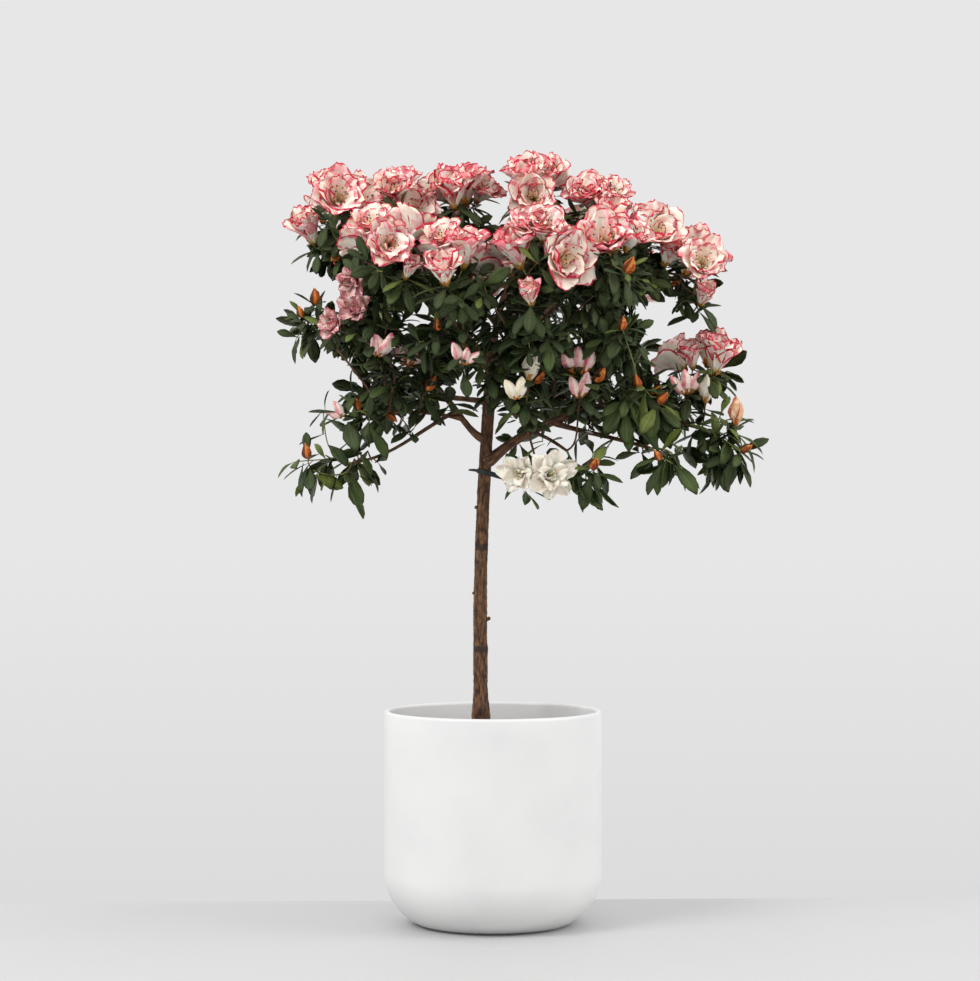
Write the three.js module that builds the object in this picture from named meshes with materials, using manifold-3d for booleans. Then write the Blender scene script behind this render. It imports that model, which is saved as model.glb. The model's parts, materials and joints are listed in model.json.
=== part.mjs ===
// A standard azalea: a wide flowering crown on one bare stem, growing in a plain round ceramic pot.
// Millimetres, +Z up. The origin is the middle of the pot's underside, and -Y is the side seen from the front.
import * as THREE from "three";
import { mergeVertices } from "three/addons/utils/BufferGeometryUtils.js";
import Module from "manifold-3d";

const wasm = await Module();
wasm.setup();

// ---- driving sizes ----
const GAP = 0.35; // clear space left between two pieces that meet
const MASS_GAP = 0.5; // the same between two masses of foliage
const POT = { radius: 87.5, height: 171.5, wall: 4.5, base: 7, lip: 1.6, corner: 45, cornerTop: 42 };
const COMPOST_TOP = 148; // the compost lies this high in the pot
const STEM = { foot: 5.8, tip: 4.6, flare: 4.2, flareHeight: 9, sides: 12, steps: 10 };
const TIE = {
  height: 364,
  middle: -6.9,
  width: 4.2,
  thick: 1.3,
  tilt: -0.24,
  ends: [
    { side: -1, reach: 8, width: 2.2 },
    { side: 1, reach: 11, width: 4.2 },
  ],
};
const LIMB_SIDES = 6;
const TURNED_SIDES = 28; // the pot and the compost share it, so that their flats line up
const SMOOTH = 0.02; // facet detail smaller than this is dropped from a stem or bough
const FINEST = 0.2; // and smaller than this from a mass of foliage
const WELD = 1e-4; // corners closer than this are one corner
const LUMP = 0.2; // how far a mass swells and sinks, as a share of its half size
const WAVE = 1.6; // the slowest wave of those lumps

// ---- colours of the living parts and the pot ----
const looks = {
  ceramic: { color: 0xe9e9e8, roughness: 0.45 },
  compost: { color: 0x3a2a20, roughness: 0.95 },
  bark: { color: 0x5a3d2e, roughness: 0.9 },
  leaves: { color: 0x2b3d2c, roughness: 0.5 },
  blossom: { color: 0xe9a9a6, roughness: 0.6 },
  whiteBlossom: { color: 0xf1e8dc, roughness: 0.6 },
  strap: { color: 0x1c2220, roughness: 0.6 },
};

const vec = (p) => new THREE.Vector3(...p);

// A closed geometry as a solid that can be cut and joined.
function solidOf(geometry) {
  const bare = new THREE.BufferGeometry();
  bare.setAttribute("position", geometry.getAttribute("position"));
  bare.setIndex(geometry.index);
  const merged = mergeVertices(bare, WELD);
  return new wasm.Manifold(
    new wasm.Mesh({
      numProp: 3,
      vertProperties: merged.attributes.position.array,
      triVerts: new Uint32Array(merged.index.array),
    }),
  );
}

// The largest body of a solid as a geometry, because a cut can leave a chip beside it.
function geometryOf(solid, finest = SMOOTH) {
  const bodies = solid.decompose().sort((a, b) => b.volume() - a.volume());
  const mesh = bodies[0].simplify(finest).getMesh();
  const geometry = new THREE.BufferGeometry();
  geometry.setAttribute("position", new THREE.BufferAttribute(new Float32Array(mesh.vertProperties), 3));
  geometry.setIndex(new THREE.BufferAttribute(new Uint32Array(mesh.triVerts), 1));
  return geometry;
}

const plant = new THREE.Group();

function addPiece(name, geometry, look) {
  const mesh = new THREE.Mesh(geometry, new THREE.MeshStandardMaterial(looks[look]));
  mesh.name = name;
  plant.add(mesh);
}

// ---- pot and compost: turned shapes ----
// The outline of a turned wall's rounded foot, from the underside out to the upright side.
function footOutline(radius, corner, cornerTop, lowest, steps = 4) {
  const middle = radius - corner;
  const start = Math.asin((cornerTop - lowest) / corner);
  const outline = [];
  for (let i = 0; i <= steps; i++) {
    const angle = -start * (1 - i / steps);
    outline.push(new THREE.Vector2(middle + corner * Math.cos(angle), cornerTop + corner * Math.sin(angle)));
  }
  return outline;
}

// A profile turned about the Z axis.
function turned(outline, segments) {
  const lathe = new THREE.LatheGeometry(outline, segments);
  lathe.rotateX(Math.PI / 2);
  return lathe;
}

function makePot() {
  const { radius, height, wall, base, lip, corner, cornerTop } = POT;
  const outside = footOutline(radius, corner, cornerTop, 0);
  const inside = footOutline(radius - wall, corner - wall, cornerTop, base).reverse();
  const outline = [
    new THREE.Vector2(0, 0),
    ...outside,
    new THREE.Vector2(radius, height - lip),
    new THREE.Vector2(radius - lip, height),
    new THREE.Vector2(radius - wall + lip, height),
    new THREE.Vector2(radius - wall, height - lip),
    ...inside,
    new THREE.Vector2(0, base),
  ];
  return turned(outline, TURNED_SIDES);
}

function makeCompost() {
  const inner = POT.radius - POT.wall - GAP;
  const foot = footOutline(inner, POT.corner - POT.wall - GAP, POT.cornerTop, POT.base + GAP);
  const outline = [
    new THREE.Vector2(0, POT.base + GAP),
    ...foot,
    new THREE.Vector2(inner, COMPOST_TOP),
    new THREE.Vector2(0, COMPOST_TOP),
  ];
  return turned(outline, TURNED_SIDES);
}

// ---- stem and boughs: a round bar bent along a curve and tapered ----
function limb(path, girth, { grow = 0, sides = LIMB_SIDES, steps = 5 } = {}) {
  const curve = new THREE.CatmullRomCurve3(path.map(vec), false, "centripetal");
  const frames = curve.computeFrenetFrames(steps, false);
  const bar = new THREE.CylinderGeometry(1, 1, 1, sides, steps);
  const position = bar.getAttribute("position");
  for (let i = 0; i < position.count; i++) {
    const along = Math.round((position.getY(i) + 0.5) * steps);
    const share = along / steps;
    const at = curve.getPointAt(share);
    const radius = girth(share) + grow;
    if (share === 0) at.addScaledVector(frames.tangents[0], -grow);
    if (share === 1) at.addScaledVector(frames.tangents[steps], grow);
    at.addScaledVector(frames.normals[along], position.getX(i) * radius);
    at.addScaledVector(frames.binormals[along], -position.getZ(i) * radius);
    position.setXYZ(i, at.x, at.y, at.z);
  }
  return solidOf(bar);
}

const taper = (start, end) => (share) => start + (end - start) * share;

// The stem leans and bends a little, and runs up into the crown as its leader.
const stemPath = [
  [-9.5, 0, COMPOST_TOP + GAP],
  [-10.2, 0, 215],
  [-10, 0, 280],
  [-7.6, 0, 345],
  [-4.6, 0, 400],
  [-1, 3, 455],
];
const stemHeight = stemPath.at(-1)[2] - stemPath[0][2];
const stemGirth = (share) =>
  taper(STEM.foot, STEM.tip)(share) + STEM.flare * Math.exp((-share * stemHeight) / STEM.flareHeight);

// Each bough leaves the stem, or another bough, at its first point and ends inside a mass of foliage.
const boughs = {
  right_bough: { path: [[-5, 0, 370], [14, -4, 387], [48, -9, 404], [92, -16, 418]], girth: [4.3, 2.6] },
  right_low_bough: { path: [[46, -9, 403], [72, -18, 396], [104, -32, 388], [124, -42, 382]], girth: [2.2, 1.4] },
  right_far_bough: { path: [[88, -15, 418], [122, -18, 422], [150, -18, 436]], girth: [2.2, 1.7] },
  right_tip_bough: { path: [[118, -18, 421], [148, -26, 403], [172, -30, 396]], girth: [1.9, 1.3] },
  left_bough: { path: [[-6, 0, 384], [-22, -4, 402], [-38, -10, 424], [-58, -20, 440]], girth: [2.9, 2] },
  left_tip_bough: { path: [[-30, -7, 413], [-56, -22, 396], [-88, -32, 376], [-112, -36, 370]], girth: [1.7, 1.1] },
  left_mid_bough: { path: [[-24, -5, 406], [-54, -22, 411], [-86, -38, 410]], girth: [1.7, 1.2] },
  front_bough: { path: [[-3, 0, 416], [8, -24, 424], [18, -50, 432]], girth: [2.4, 1.7] },
  front_low_bough: { path: [[30, -7, 396], [44, -30, 390], [58, -46, 380]], girth: [1.6, 1.2] },
  white_bough: { path: [[16, -36, 427], [26, -52, 400], [33, -60, 374]], girth: [1.3, 0.9] },
  back_right_bough: { path: [[-2, 0, 424], [24, 28, 426], [50, 52, 428]], girth: [2.6, 1.8] },
  back_left_bough: { path: [[-2, 0, 420], [-34, 16, 424], [-70, 32, 428]], girth: [2.4, 1.7] },
  upper_left_bough: { path: [[-1, 3, 450], [-26, 0, 478], [-58, 4, 510], [-74, 10, 534]], girth: [3, 2] },
  upper_right_bough: { path: [[-1, 3, 448], [28, 0, 476], [60, 2, 508], [80, 5, 530]], girth: [3, 2] },
  leader: { path: [[-1, 3, 453.5], [4, 5, 490], [14, 6, 520], [30, 9, 545]], girth: [3.1, 2] },
};

// ---- masses of foliage: lumpy balls, divided by a flat cut wherever two of them meet ----
const waveTurns = [1, 2, 3, 4, 5];

// How far the surface stands out in one direction, from five slow waves that differ for each mass.
function lumpiness(direction, seed, height) {
  let out = 0;
  for (const turn of waveTurns) {
    const axis = new THREE.Vector3(
      Math.sin(seed * 1.7 + turn * 2.1),
      Math.cos(seed * 2.3 + turn * 1.3),
      Math.sin(seed * 0.9 - turn * 1.9),
    ).normalize();
    out += Math.sin(direction.dot(axis) * (WAVE + turn) + seed + turn);
  }
  return 1 + (height * out) / waveTurns.length;
}

function massBall(mass, seed) {
  const ball = new THREE.OctahedronGeometry(1, 3);
  const position = ball.getAttribute("position");
  const direction = new THREE.Vector3();
  for (let i = 0; i < position.count; i++) {
    direction.fromBufferAttribute(position, i).normalize();
    const out = lumpiness(direction, seed, LUMP);
    position.setXYZ(
      i,
      mass.at[0] + direction.x * out * mass.half[0],
      mass.at[1] + direction.y * out * mass.half[1],
      mass.at[2] + direction.z * out * mass.half[2],
    );
  }
  return solidOf(ball);
}

// Middle and half sizes of each mass. They are named as seen from the front.
const masses = {
  top_left_end: { at: [-126, -10, 556], half: [35, 46, 43], look: "blossom" },
  top_left: { at: [-76, 8, 556], half: [34, 50, 42], look: "blossom" },
  top_middle: { at: [-27, 2, 571], half: [33, 50, 41], look: "blossom" },
  top_peak: { at: [35, 6, 573], half: [35, 50, 42], look: "blossom" },
  top_right: { at: [83, 2, 560], half: [34, 50, 38], look: "blossom" },
  top_right_shoulder: { at: [126, -2, 540], half: [32, 48, 37], look: "blossom" },
  top_right_end: { at: [159, -8, 521], half: [27, 42, 31], look: "blossom" },
  front_left: { at: [-84, -92, 524], half: [37, 44, 38], look: "blossom" },
  front_middle: { at: [-27, -104, 512], half: [35, 46, 38], look: "blossom" },
  front_right: { at: [34, -102, 522], half: [35, 48, 40], look: "blossom" },
  front_right_end: { at: [92, -88, 518], half: [37, 44, 38], look: "blossom" },
  back_left: { at: [-92, 92, 526], half: [40, 46, 38], look: "blossom" },
  back_middle: { at: [-28, 108, 522], half: [36, 48, 40], look: "blossom" },
  back_right: { at: [36, 108, 524], half: [37, 48, 41], look: "blossom" },
  back_right_end: { at: [98, 92, 516], half: [40, 46, 38], look: "blossom" },
  middle_left_end: { at: [-142, -14, 481], half: [38, 36, 27], look: "leaves" },
  middle_left: { at: [-96, -60, 476], half: [40, 38, 29], look: "leaves" },
  middle_front_left: { at: [-34, -84, 464], half: [38, 36, 25], look: "leaves" },
  middle_front: { at: [34, -88, 468], half: [38, 36, 26], look: "leaves" },
  middle_right: { at: [90, -66, 468], half: [34, 38, 28], look: "leaves" },
  middle_back_left_end: { at: [-106, 52, 474], half: [40, 40, 29], look: "leaves" },
  middle_back_left: { at: [-40, 92, 466], half: [38, 40, 28], look: "leaves" },
  middle_back_right: { at: [36, 94, 468], half: [40, 40, 28], look: "leaves" },
  middle_back_right_end: { at: [98, 66, 468], half: [38, 40, 28], look: "leaves" },
  low_left_tip: { at: [-133, -36, 368], half: [44, 26, 24], look: "leaves" },
  low_left: { at: [-106, -46, 407], half: [38, 28, 18], look: "leaves" },
  low_left_inner: { at: [-72, -34, 438], half: [34, 34, 20], look: "leaves" },
  low_front: { at: [20, -70, 432], half: [34, 30, 20], look: "leaves" },
  low_front_right: { at: [72, -52, 436], half: [28, 30, 22], look: "leaves" },
  low_right: { at: [116, -42, 424], half: [32, 32, 24], look: "leaves" },
  right_lobe: { at: [171, -16, 443], half: [36, 36, 30], look: "blossom" },
  low_right_tip: { at: [184, -32, 388], half: [27, 30, 36], look: "leaves" },
  low_right_under: { at: [138, -50, 376], half: [30, 28, 22], look: "leaves" },
  hanging_front: { at: [74, -56, 364], half: [28, 26, 34], look: "leaves" },
  white_flowers: { at: [33, -62, 359], half: [33, 21, 20], look: "whiteBlossom" },
  low_back_left: { at: [-92, 42, 428], half: [40, 38, 22], look: "leaves" },
  low_back_right: { at: [66, 68, 426], half: [38, 38, 22], look: "leaves" },
  low_back_right_end: { at: [132, 44, 418], half: [38, 38, 28], look: "leaves" },
};

// How far a mass reaches from its middle towards one side.
function reach({ half }, direction) {
  return 1 / Math.hypot(direction.x / half[0], direction.y / half[1], direction.z / half[2]);
}

// Two masses that meet are both cut flat, at a place between them set by their reach.
function divide(one, other) {
  if (one.solid.intersect(other.solid).volume() <= 0) return;
  const start = vec(one.mass.at);
  const across = vec(other.mass.at).sub(start);
  const direction = across.clone().normalize();
  const share = reach(one.mass, direction) / (reach(one.mass, direction) + reach(other.mass, direction));
  const plane = direction.dot(start) + across.length() * share;
  const back = direction.clone().negate();
  one.solid = one.solid.trimByPlane(back.toArray(), MASS_GAP / 2 - plane);
  other.solid = other.solid.trimByPlane(direction.toArray(), plane + MASS_GAP / 2);
}

// ---- tie: a strap once round the stem, with its two ends standing out ----
function makeTie(clearance) {
  const grip = stemGirth((TIE.height - stemPath[0][2]) / stemHeight);
  const outside = grip + GAP + TIE.thick;
  const half = TIE.width / 2;
  const section = [
    new THREE.Vector2(grip / 2, -half),
    new THREE.Vector2(outside, -half),
    new THREE.Vector2(outside, half),
    new THREE.Vector2(grip / 2, half),
    new THREE.Vector2(grip / 2, -half),
  ];
  const place = new THREE.Matrix4().makeRotationY(-TIE.tilt);
  place.setPosition(TIE.middle, 0, TIE.height);
  let tie = solidOf(turned(section, STEM.sides).applyMatrix4(place));
  for (const { reach: length, side, width } of TIE.ends) {
    const end = new THREE.BoxGeometry(length, TIE.thick, width);
    end.translate(side * (grip + length / 2), -grip / 2, 0);
    tie = tie.add(solidOf(end.applyMatrix4(place)));
  }
  return tie.subtract(clearance);
}

// ---- assembly ----
addPiece("pot", makePot(), "ceramic");
addPiece("compost", makeCompost(), "compost");

const stemBar = (grow) => limb(stemPath, stemGirth, { grow, sides: STEM.sides, steps: STEM.steps });
addPiece("stem", geometryOf(stemBar(0)), "bark");

const stemClearance = stemBar(GAP);
let limbClearance = stemClearance;
for (const [name, { path, girth }] of Object.entries(boughs)) {
  const bough = limb(path, taper(...girth)).subtract(limbClearance);
  addPiece(name, geometryOf(bough), "bark");
  limbClearance = limbClearance.add(limb(path, taper(...girth), { grow: GAP }));
}

addPiece("tie", geometryOf(makeTie(limbClearance)), "strap");

const balls = Object.entries(masses).map(([name, mass], order) => ({
  name,
  mass,
  solid: massBall(mass, order + 1),
}));
balls.forEach((ball, order) => {
  for (const other of balls.slice(order + 1)) divide(ball, other);
});
for (const { name, mass, solid } of balls) {
  addPiece(name, geometryOf(solid.subtract(limbClearance), FINEST), mass.look);
}

export default plant;
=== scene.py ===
# %% [markdown]
# # A small azalea standard in a white pot
# A nursery makes this plant by training one azalea shoot up as a bare stem and pinching its head
# until it is a wide, flat-topped crown. A imported CAD model already fixes every size: the pot, the
# stem, the boughs, and a lumpy solid for each mass of foliage. This script dresses that frame. It
# takes each place from it, so nothing has to be fitted afterwards.

# %% Load the frame
import json
from math import asin, cos, degrees, exp, hypot, pi, radians, sin, tau

import bmesh
import bpy
import numpy as np
from mathutils import Matrix, Vector, noise
from mathutils.bvhtree import BVHTree
from numpy.linalg import norm, svd

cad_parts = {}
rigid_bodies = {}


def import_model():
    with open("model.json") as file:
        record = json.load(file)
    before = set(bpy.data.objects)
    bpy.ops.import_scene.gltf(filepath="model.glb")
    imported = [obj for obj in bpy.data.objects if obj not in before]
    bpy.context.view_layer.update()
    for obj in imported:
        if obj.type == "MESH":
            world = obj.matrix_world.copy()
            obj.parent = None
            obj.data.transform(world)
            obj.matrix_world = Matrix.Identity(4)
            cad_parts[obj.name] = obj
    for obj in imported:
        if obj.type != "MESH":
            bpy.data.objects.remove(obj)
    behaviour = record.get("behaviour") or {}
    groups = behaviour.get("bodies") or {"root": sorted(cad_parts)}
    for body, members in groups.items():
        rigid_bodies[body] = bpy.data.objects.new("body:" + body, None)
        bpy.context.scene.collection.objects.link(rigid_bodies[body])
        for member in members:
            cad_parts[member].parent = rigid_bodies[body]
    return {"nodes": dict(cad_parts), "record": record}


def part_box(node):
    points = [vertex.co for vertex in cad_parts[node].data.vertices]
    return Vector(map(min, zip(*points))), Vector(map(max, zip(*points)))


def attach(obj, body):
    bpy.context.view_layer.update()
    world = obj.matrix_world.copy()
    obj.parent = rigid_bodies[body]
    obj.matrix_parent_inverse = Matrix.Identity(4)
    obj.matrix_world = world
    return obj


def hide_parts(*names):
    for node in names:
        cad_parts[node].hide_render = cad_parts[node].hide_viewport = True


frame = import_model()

MM = 0.001
scene = bpy.context.scene
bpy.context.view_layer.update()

# %% [markdown]
# ## Where it is seen from
# A long lens, held level a little below the crown, gives the calm view of a plant catalogue. A wide
# lens close by would open the pot's rim into an oval.

# %% Camera
VIEW_DISTANCE = 2117 * MM
VIEW_HEIGHT = 348.5 * MM
VIEW_SIDE = -2.4 * MM
LENS = 96.37
camera_data = bpy.data.cameras.new("camera")
camera_data.lens = LENS
camera_data.sensor_width = 36
camera = bpy.data.objects.new("camera", camera_data)
camera.location = (VIEW_SIDE, -VIEW_DISTANCE, VIEW_HEIGHT)
camera.rotation_euler = (radians(90), 0, 0)
scene.collection.objects.link(camera)
scene.camera = camera
print("camera", LENS, "mm lens")

# %% [markdown]
# ## Building blocks
# Everything below is made of meshes and node trees, so a few short helpers come first. `add_node`
# adds a node, sets its inputs and settings, and returns it. `maths` and `fade` add the two kinds
# used most. `paint` turns a colour from a picker's 0 to 255 into the linear one that shaders want,
# and `ramp` spreads colours over a value.

# %% Helpers for nodes and colours
def add_node(tree, kind, inputs=(), **settings):
    made = tree.nodes.new(kind)
    for key, value in settings.items():
        setattr(made, key, value)
    for key, value in dict(inputs).items():
        if isinstance(value, bpy.types.NodeSocket):
            tree.links.new(value, made.inputs[key])
        else:
            made.inputs[key].default_value = value
    return made


def maths(tree, operation, *values):
    return add_node(tree, "ShaderNodeMath", dict(enumerate(values)), operation=operation).outputs[0]


def fade(tree, value, low, high, start, end):
    """A socket that goes from start to end while value goes from low to high."""
    ends = {"From Min": low, "From Max": high, "To Min": start, "To Max": end}
    return add_node(tree, "ShaderNodeMapRange", {"Value": value} | ends).outputs["Result"]


def in_mm(lengths):
    return [round(v / MM, 1) for v in lengths]


def paint(red, green, blue):
    return [((v / 255 + 0.055) / 1.055) ** 2.4 for v in (red, green, blue)] + [1]


def ramp(tree, value, colours, start=0.3, end=0.7):
    """Spreads colours evenly from start to end of value, and returns the colour socket."""
    made = add_node(tree, "ShaderNodeValToRGB", {"Fac": value})
    stops = made.color_ramp.elements
    while len(stops) < len(colours):
        stops.new(1)
    for stop, place, colour in zip(stops, np.linspace(start, end, len(colours)), colours):
        stop.position = place
        stop.color = colour
    return made.outputs["Color"]


print("helpers ready")

# %% [markdown]
# ## Light
# The plant stands in a bright white room. A pale world lights it from all sides, and soft lamps
# like windows shape it, the strongest from the upper left. The wall is the world itself, so it
# can't catch a shadow.

# %% World and lamps
WALL_LOW = paint(220, 220, 220)
WALL_HIGH = paint(231, 231, 231)
CEILING = 1.5
BEHIND_VIEWER = 0.8
CROWN = (0, 0, 450 * MM)
world = bpy.data.worlds.new("room")
scene.world = world
world.use_nodes = True
room = world.node_tree
room.nodes.clear()
view = add_node(room, "ShaderNodeTexCoord").outputs["Generated"]
ways = add_node(room, "ShaderNodeSeparateXYZ", {"Vector": view})
height, depth = ways.outputs["Z"], ways.outputs["Y"]
wall = ramp(room, fade(room, height, -0.15, -0.02, 0, 1), [WALL_LOW, WALL_HIGH], 0, 1)
overhead = fade(room, height, 0.3, 0.9, 1.0, CEILING)
behind = fade(room, depth, -1.0, -0.3, BEHIND_VIEWER, 1.0)
strength = maths(room, "MULTIPLY", overhead, behind)
glow = add_node(room, "ShaderNodeBackground", {"Color": wall, "Strength": strength})
add_node(room, "ShaderNodeOutputWorld", {"Surface": glow.outputs[0]})
scene.view_settings.view_transform = "Standard"


def add_lamp(name, place, target, size, watts):
    lamp = bpy.data.lights.new(name, "AREA")
    lamp.size = size
    lamp.energy = watts
    made = bpy.data.objects.new(name, lamp)
    made.location = place
    made.rotation_euler = (Vector(target) - Vector(place)).to_track_quat("-Z", "Y").to_euler()
    scene.collection.objects.link(made)


# Each lamp's place in metres, its width and its watts.
LAMPS = {
    "window_left": ((-1.5, -1.3, 1.8), 1.0, 32),
    "window_right": ((1.9, -0.5, 1.2), 1.2, 18),
    "window_front": ((0.4, -2.3, 2.0), 1.4, 2.5),
}
for name, (place, width, watts) in LAMPS.items():
    add_lamp(name, place, CROWN, width, watts)

# %% [markdown]
# ## Finishes with a little life in them
# Nothing on a plant has one flat colour. `mottled` makes a finish whose colour drifts between
# shades in soft patches, whose gloss drifts too, and which has a fine relief. The pattern sits on
# the piece's own coordinates, in metres, so a patch has a real size. What is the same all over goes
# straight on the shader's sockets.

# %% A mottled finish
def object_place(tree):
    return add_node(tree, "ShaderNodeTexCoord").outputs["Object"]


def mottled(name, shades, patch, roughness, relief, place=object_place, detail=3, **constants):
    """A finish with shades in patches, a range of roughness, and relief of a height and size."""
    made = bpy.data.materials.new(name)
    made.use_nodes = True
    tree = made.node_tree
    shader = tree.nodes["Principled BSDF"]
    where = place(tree)
    noises = []
    for size in (patch, relief[1]):
        pattern = {"Vector": where, "Scale": 1 / size, "Detail": detail}
        noises.append(add_node(tree, "ShaderNodeTexNoise", pattern))
    drift, fine = noises
    rough = fade(tree, fine.outputs["Fac"], 0.3, 0.7, *roughness)
    bump = add_node(tree, "ShaderNodeBump", {"Height": fine.outputs["Fac"], "Distance": relief[0]})
    colour = ramp(tree, drift.outputs["Fac"], [paint(*c) for c in shades])
    tree.links.new(colour, shader.inputs["Base Color"])
    tree.links.new(rough, shader.inputs["Roughness"])
    tree.links.new(bump.outputs["Normal"], shader.inputs["Normal"])
    for socket, value in constants.items():
        shader.inputs[socket.replace("_", " ")].default_value = value
    return made


print("mottled finishes ready")

# %% [markdown]
# ## The table
# A pale table top runs on past the pot, and its back edge shows a little behind it. A slab is used,
# since a plane has no edge to catch the light.

# %% Table
TABLE_BACK = 118 * MM
TABLE_REACH = 1.6
TABLE_THICK = 30 * MM
TABLE_TURN = radians(2.2)


def add_object(name, mesh):
    made = bpy.data.objects.new(name, mesh)
    scene.collection.objects.link(made)
    return made


def add_mesh(name, points, faces, smooth=True):
    mesh = bpy.data.meshes.new(name)
    mesh.from_pydata(np.asarray(points).tolist(), [], [list(map(int, face)) for face in faces])
    mesh.polygons.foreach_set("use_smooth", [smooth] * len(mesh.polygons))
    return add_object(name, mesh)


def slab(low, high):
    points = [
        (x, y, z) for z in (low[2], high[2]) for y in (low[1], high[1]) for x in (low[0], high[0])
    ]
    return points, [
        (0, 2, 3, 1), (4, 5, 7, 6), (0, 1, 5, 4), (1, 3, 7, 5), (3, 2, 6, 7), (2, 0, 4, 6)
    ]


table_corners = (-TABLE_REACH, -TABLE_REACH, -TABLE_THICK), (TABLE_REACH, TABLE_BACK, 0)
table = add_mesh("table", *slab(*table_corners), smooth=False)
table.data.transform(Matrix.Rotation(TABLE_TURN, 4, "Z"))
table_top = mottled(
    "table_top", [(186, 186, 186), (191, 191, 191)], 0.4, (0.5, 0.6), (0.02 * MM, 3 * MM)
)
table.data.materials.append(table_top)
print("table", [round(v, 2) for v in table.dimensions])

# %% [markdown]
# ## The pot
# A slip-cast or moulded pot is a body of revolution: straight sides, a broad rounded foot, a thin
# wall with a soft rim, and a foot ring set in under its edge, which leaves a thin dark gap over the
# table. It could be carved out of a cylinder, but spinning one outline gives clean rings and an
# even wall. The outline starts and ends on the axis, so the body is closed, and its order makes the
# faces point outwards.

# %% Pot
FOOT_CORNER = 45 * MM
FOOT_TOP = 42 * MM
WALL = 4.5 * MM
BASE = 7 * MM
FOOT_GAP = 1.4 * MM
FOOT_RING = 5 * MM
FOOT_INSET = 8 * MM
HOLLOW = 3 * MM
MIDDLE_RING = 20 * MM
POT_SIDES = 144
pot_low, pot_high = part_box("pot")
pot_radius = (pot_high.x - pot_low.x) / 2
pot_top = pot_high.z


def arc(middle, radius, start, end, steps):
    """Points on a round corner of an outline, between two angles in degrees from outwards."""
    turns = np.radians(np.linspace(start, end, steps + 1))
    return [(middle[0] + radius * cos(t), middle[1] + radius * sin(t)) for t in turns]


def even_turns(count):
    return np.arange(count) * tau / count


def ring_faces(rings, sides):
    """Quads between rings of points, and a fan at each end to one of two last points."""
    ring = np.arange(rings * sides).reshape(rings, sides)
    after = np.roll(ring, -1, axis=1)
    faces = np.stack([ring[:-1], after[:-1], after[1:], ring[1:]], -1).reshape(-1, 4).tolist()
    faces += [(rings * sides, b, a) for a, b in zip(ring[0], after[0])]
    return faces + [(rings * sides + 1, a, b) for a, b in zip(ring[-1], after[-1])]


def turned(name, outline, sides, ripple=None):
    """Spins an outline of (radius, height) about the Z axis. ripple may move the points."""
    turns = even_turns(sides)
    outline = np.array(outline, float)
    rings = outline[1:-1]
    points = np.empty((len(rings), sides, 3))
    points[..., 0] = rings[:, :1] * np.cos(turns)
    points[..., 1] = rings[:, :1] * np.sin(turns)
    points[..., 2] = rings[:, 1:]
    if ripple:
        points = ripple(points)
    points = [*points.reshape(-1, 3), (0, 0, outline[0, 1]), (0, 0, outline[-1, 1])]
    return add_mesh(name, points, ring_faces(len(rings), sides))


def pot_outline():
    """From the middle of the underside, out, up the wall, over the rim and back down inside."""
    foot = (pot_radius - FOOT_CORNER, FOOT_TOP)
    lowest = -degrees(asin((FOOT_TOP - FOOT_GAP) / FOOT_CORNER))
    deepest = -degrees(asin((FOOT_TOP - BASE) / (FOOT_CORNER - WALL)))
    stand = foot[0] + FOOT_CORNER * cos(radians(lowest))
    ring = stand - FOOT_INSET
    under = [
        (0, HOLLOW), (MIDDLE_RING, HOLLOW), (ring - FOOT_RING - MM, HOLLOW), (ring - FOOT_RING, 0)
    ]
    under += [(ring, 0), (ring + MM, FOOT_GAP)]
    outside = arc(foot, FOOT_CORNER, lowest, 0, 18)
    side = [(pot_radius, z) for z in np.linspace(FOOT_TOP, pot_top - WALL / 2, 10)[1:-1]]
    rim = arc((pot_radius - WALL / 2, pot_top - WALL / 2), WALL / 2, 0, 180, 10)
    inner = [(r - WALL, z) for r, z in reversed(side)]
    inside = arc(foot, FOOT_CORNER - WALL, 0, deepest, 14)
    return under + outside + side + rim + inner + inside + [(MIDDLE_RING, BASE), (0, BASE)]


pot = turned("white_pot", pot_outline(), POT_SIDES)
GLAZE_SHADES = [(218, 218, 218), (223, 223, 222), (226, 226, 225)]
glassy = {"Coat_Weight": 0.15, "Coat_Roughness": 0.3}
glaze = mottled(
    "matt_white_glaze", GLAZE_SHADES, 60 * MM, (0.4, 0.5), (0.03 * MM, 2.5 * MM), **glassy
)
pot.data.materials.append(glaze)
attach(pot, "root")
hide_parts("pot")
print("pot", in_mm(pot.dimensions), "mm")

# %% [markdown]
# ## The compost
# Azaleas grow in a dark, fibrous, peaty compost whose top is a rough bed, a little below the rim. A
# displaced plane would leave it open underneath, so the bed is a closed turned body like the pot,
# and a smooth noise lifts and sinks the rings on its top.

# %% Compost bed
BED_LUMP = 2.2 * MM
LUMP_SIZE = 9 * MM
BED_SINK = 0.4 * MM
CALM_EDGE = 8 * MM
BED_MIDDLE_RING = 40 * MM
BED_RINGS = 34
BED_SIDES = 120
bed_low, bed_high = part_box("compost")
bed_radius = (bed_high.x - bed_low.x) / 2


def lumpy_bed(points):
    """Lifts and sinks the rings on top of the bed, and leaves its sides and underside."""
    for point in points.reshape(-1, 3):
        if point[2] > bed_high.z - MM:
            from_edge = min(1, (bed_radius - hypot(point[0], point[1])) / CALM_EDGE)
            spot = Vector(point) / LUMP_SIZE
            lump = noise.noise(spot) + 0.5 * noise.noise(spot * 2.7) + 0.3 * noise.noise(spot * 6)
            point[2] += BED_LUMP * from_edge * lump - BED_SINK
    return points


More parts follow.
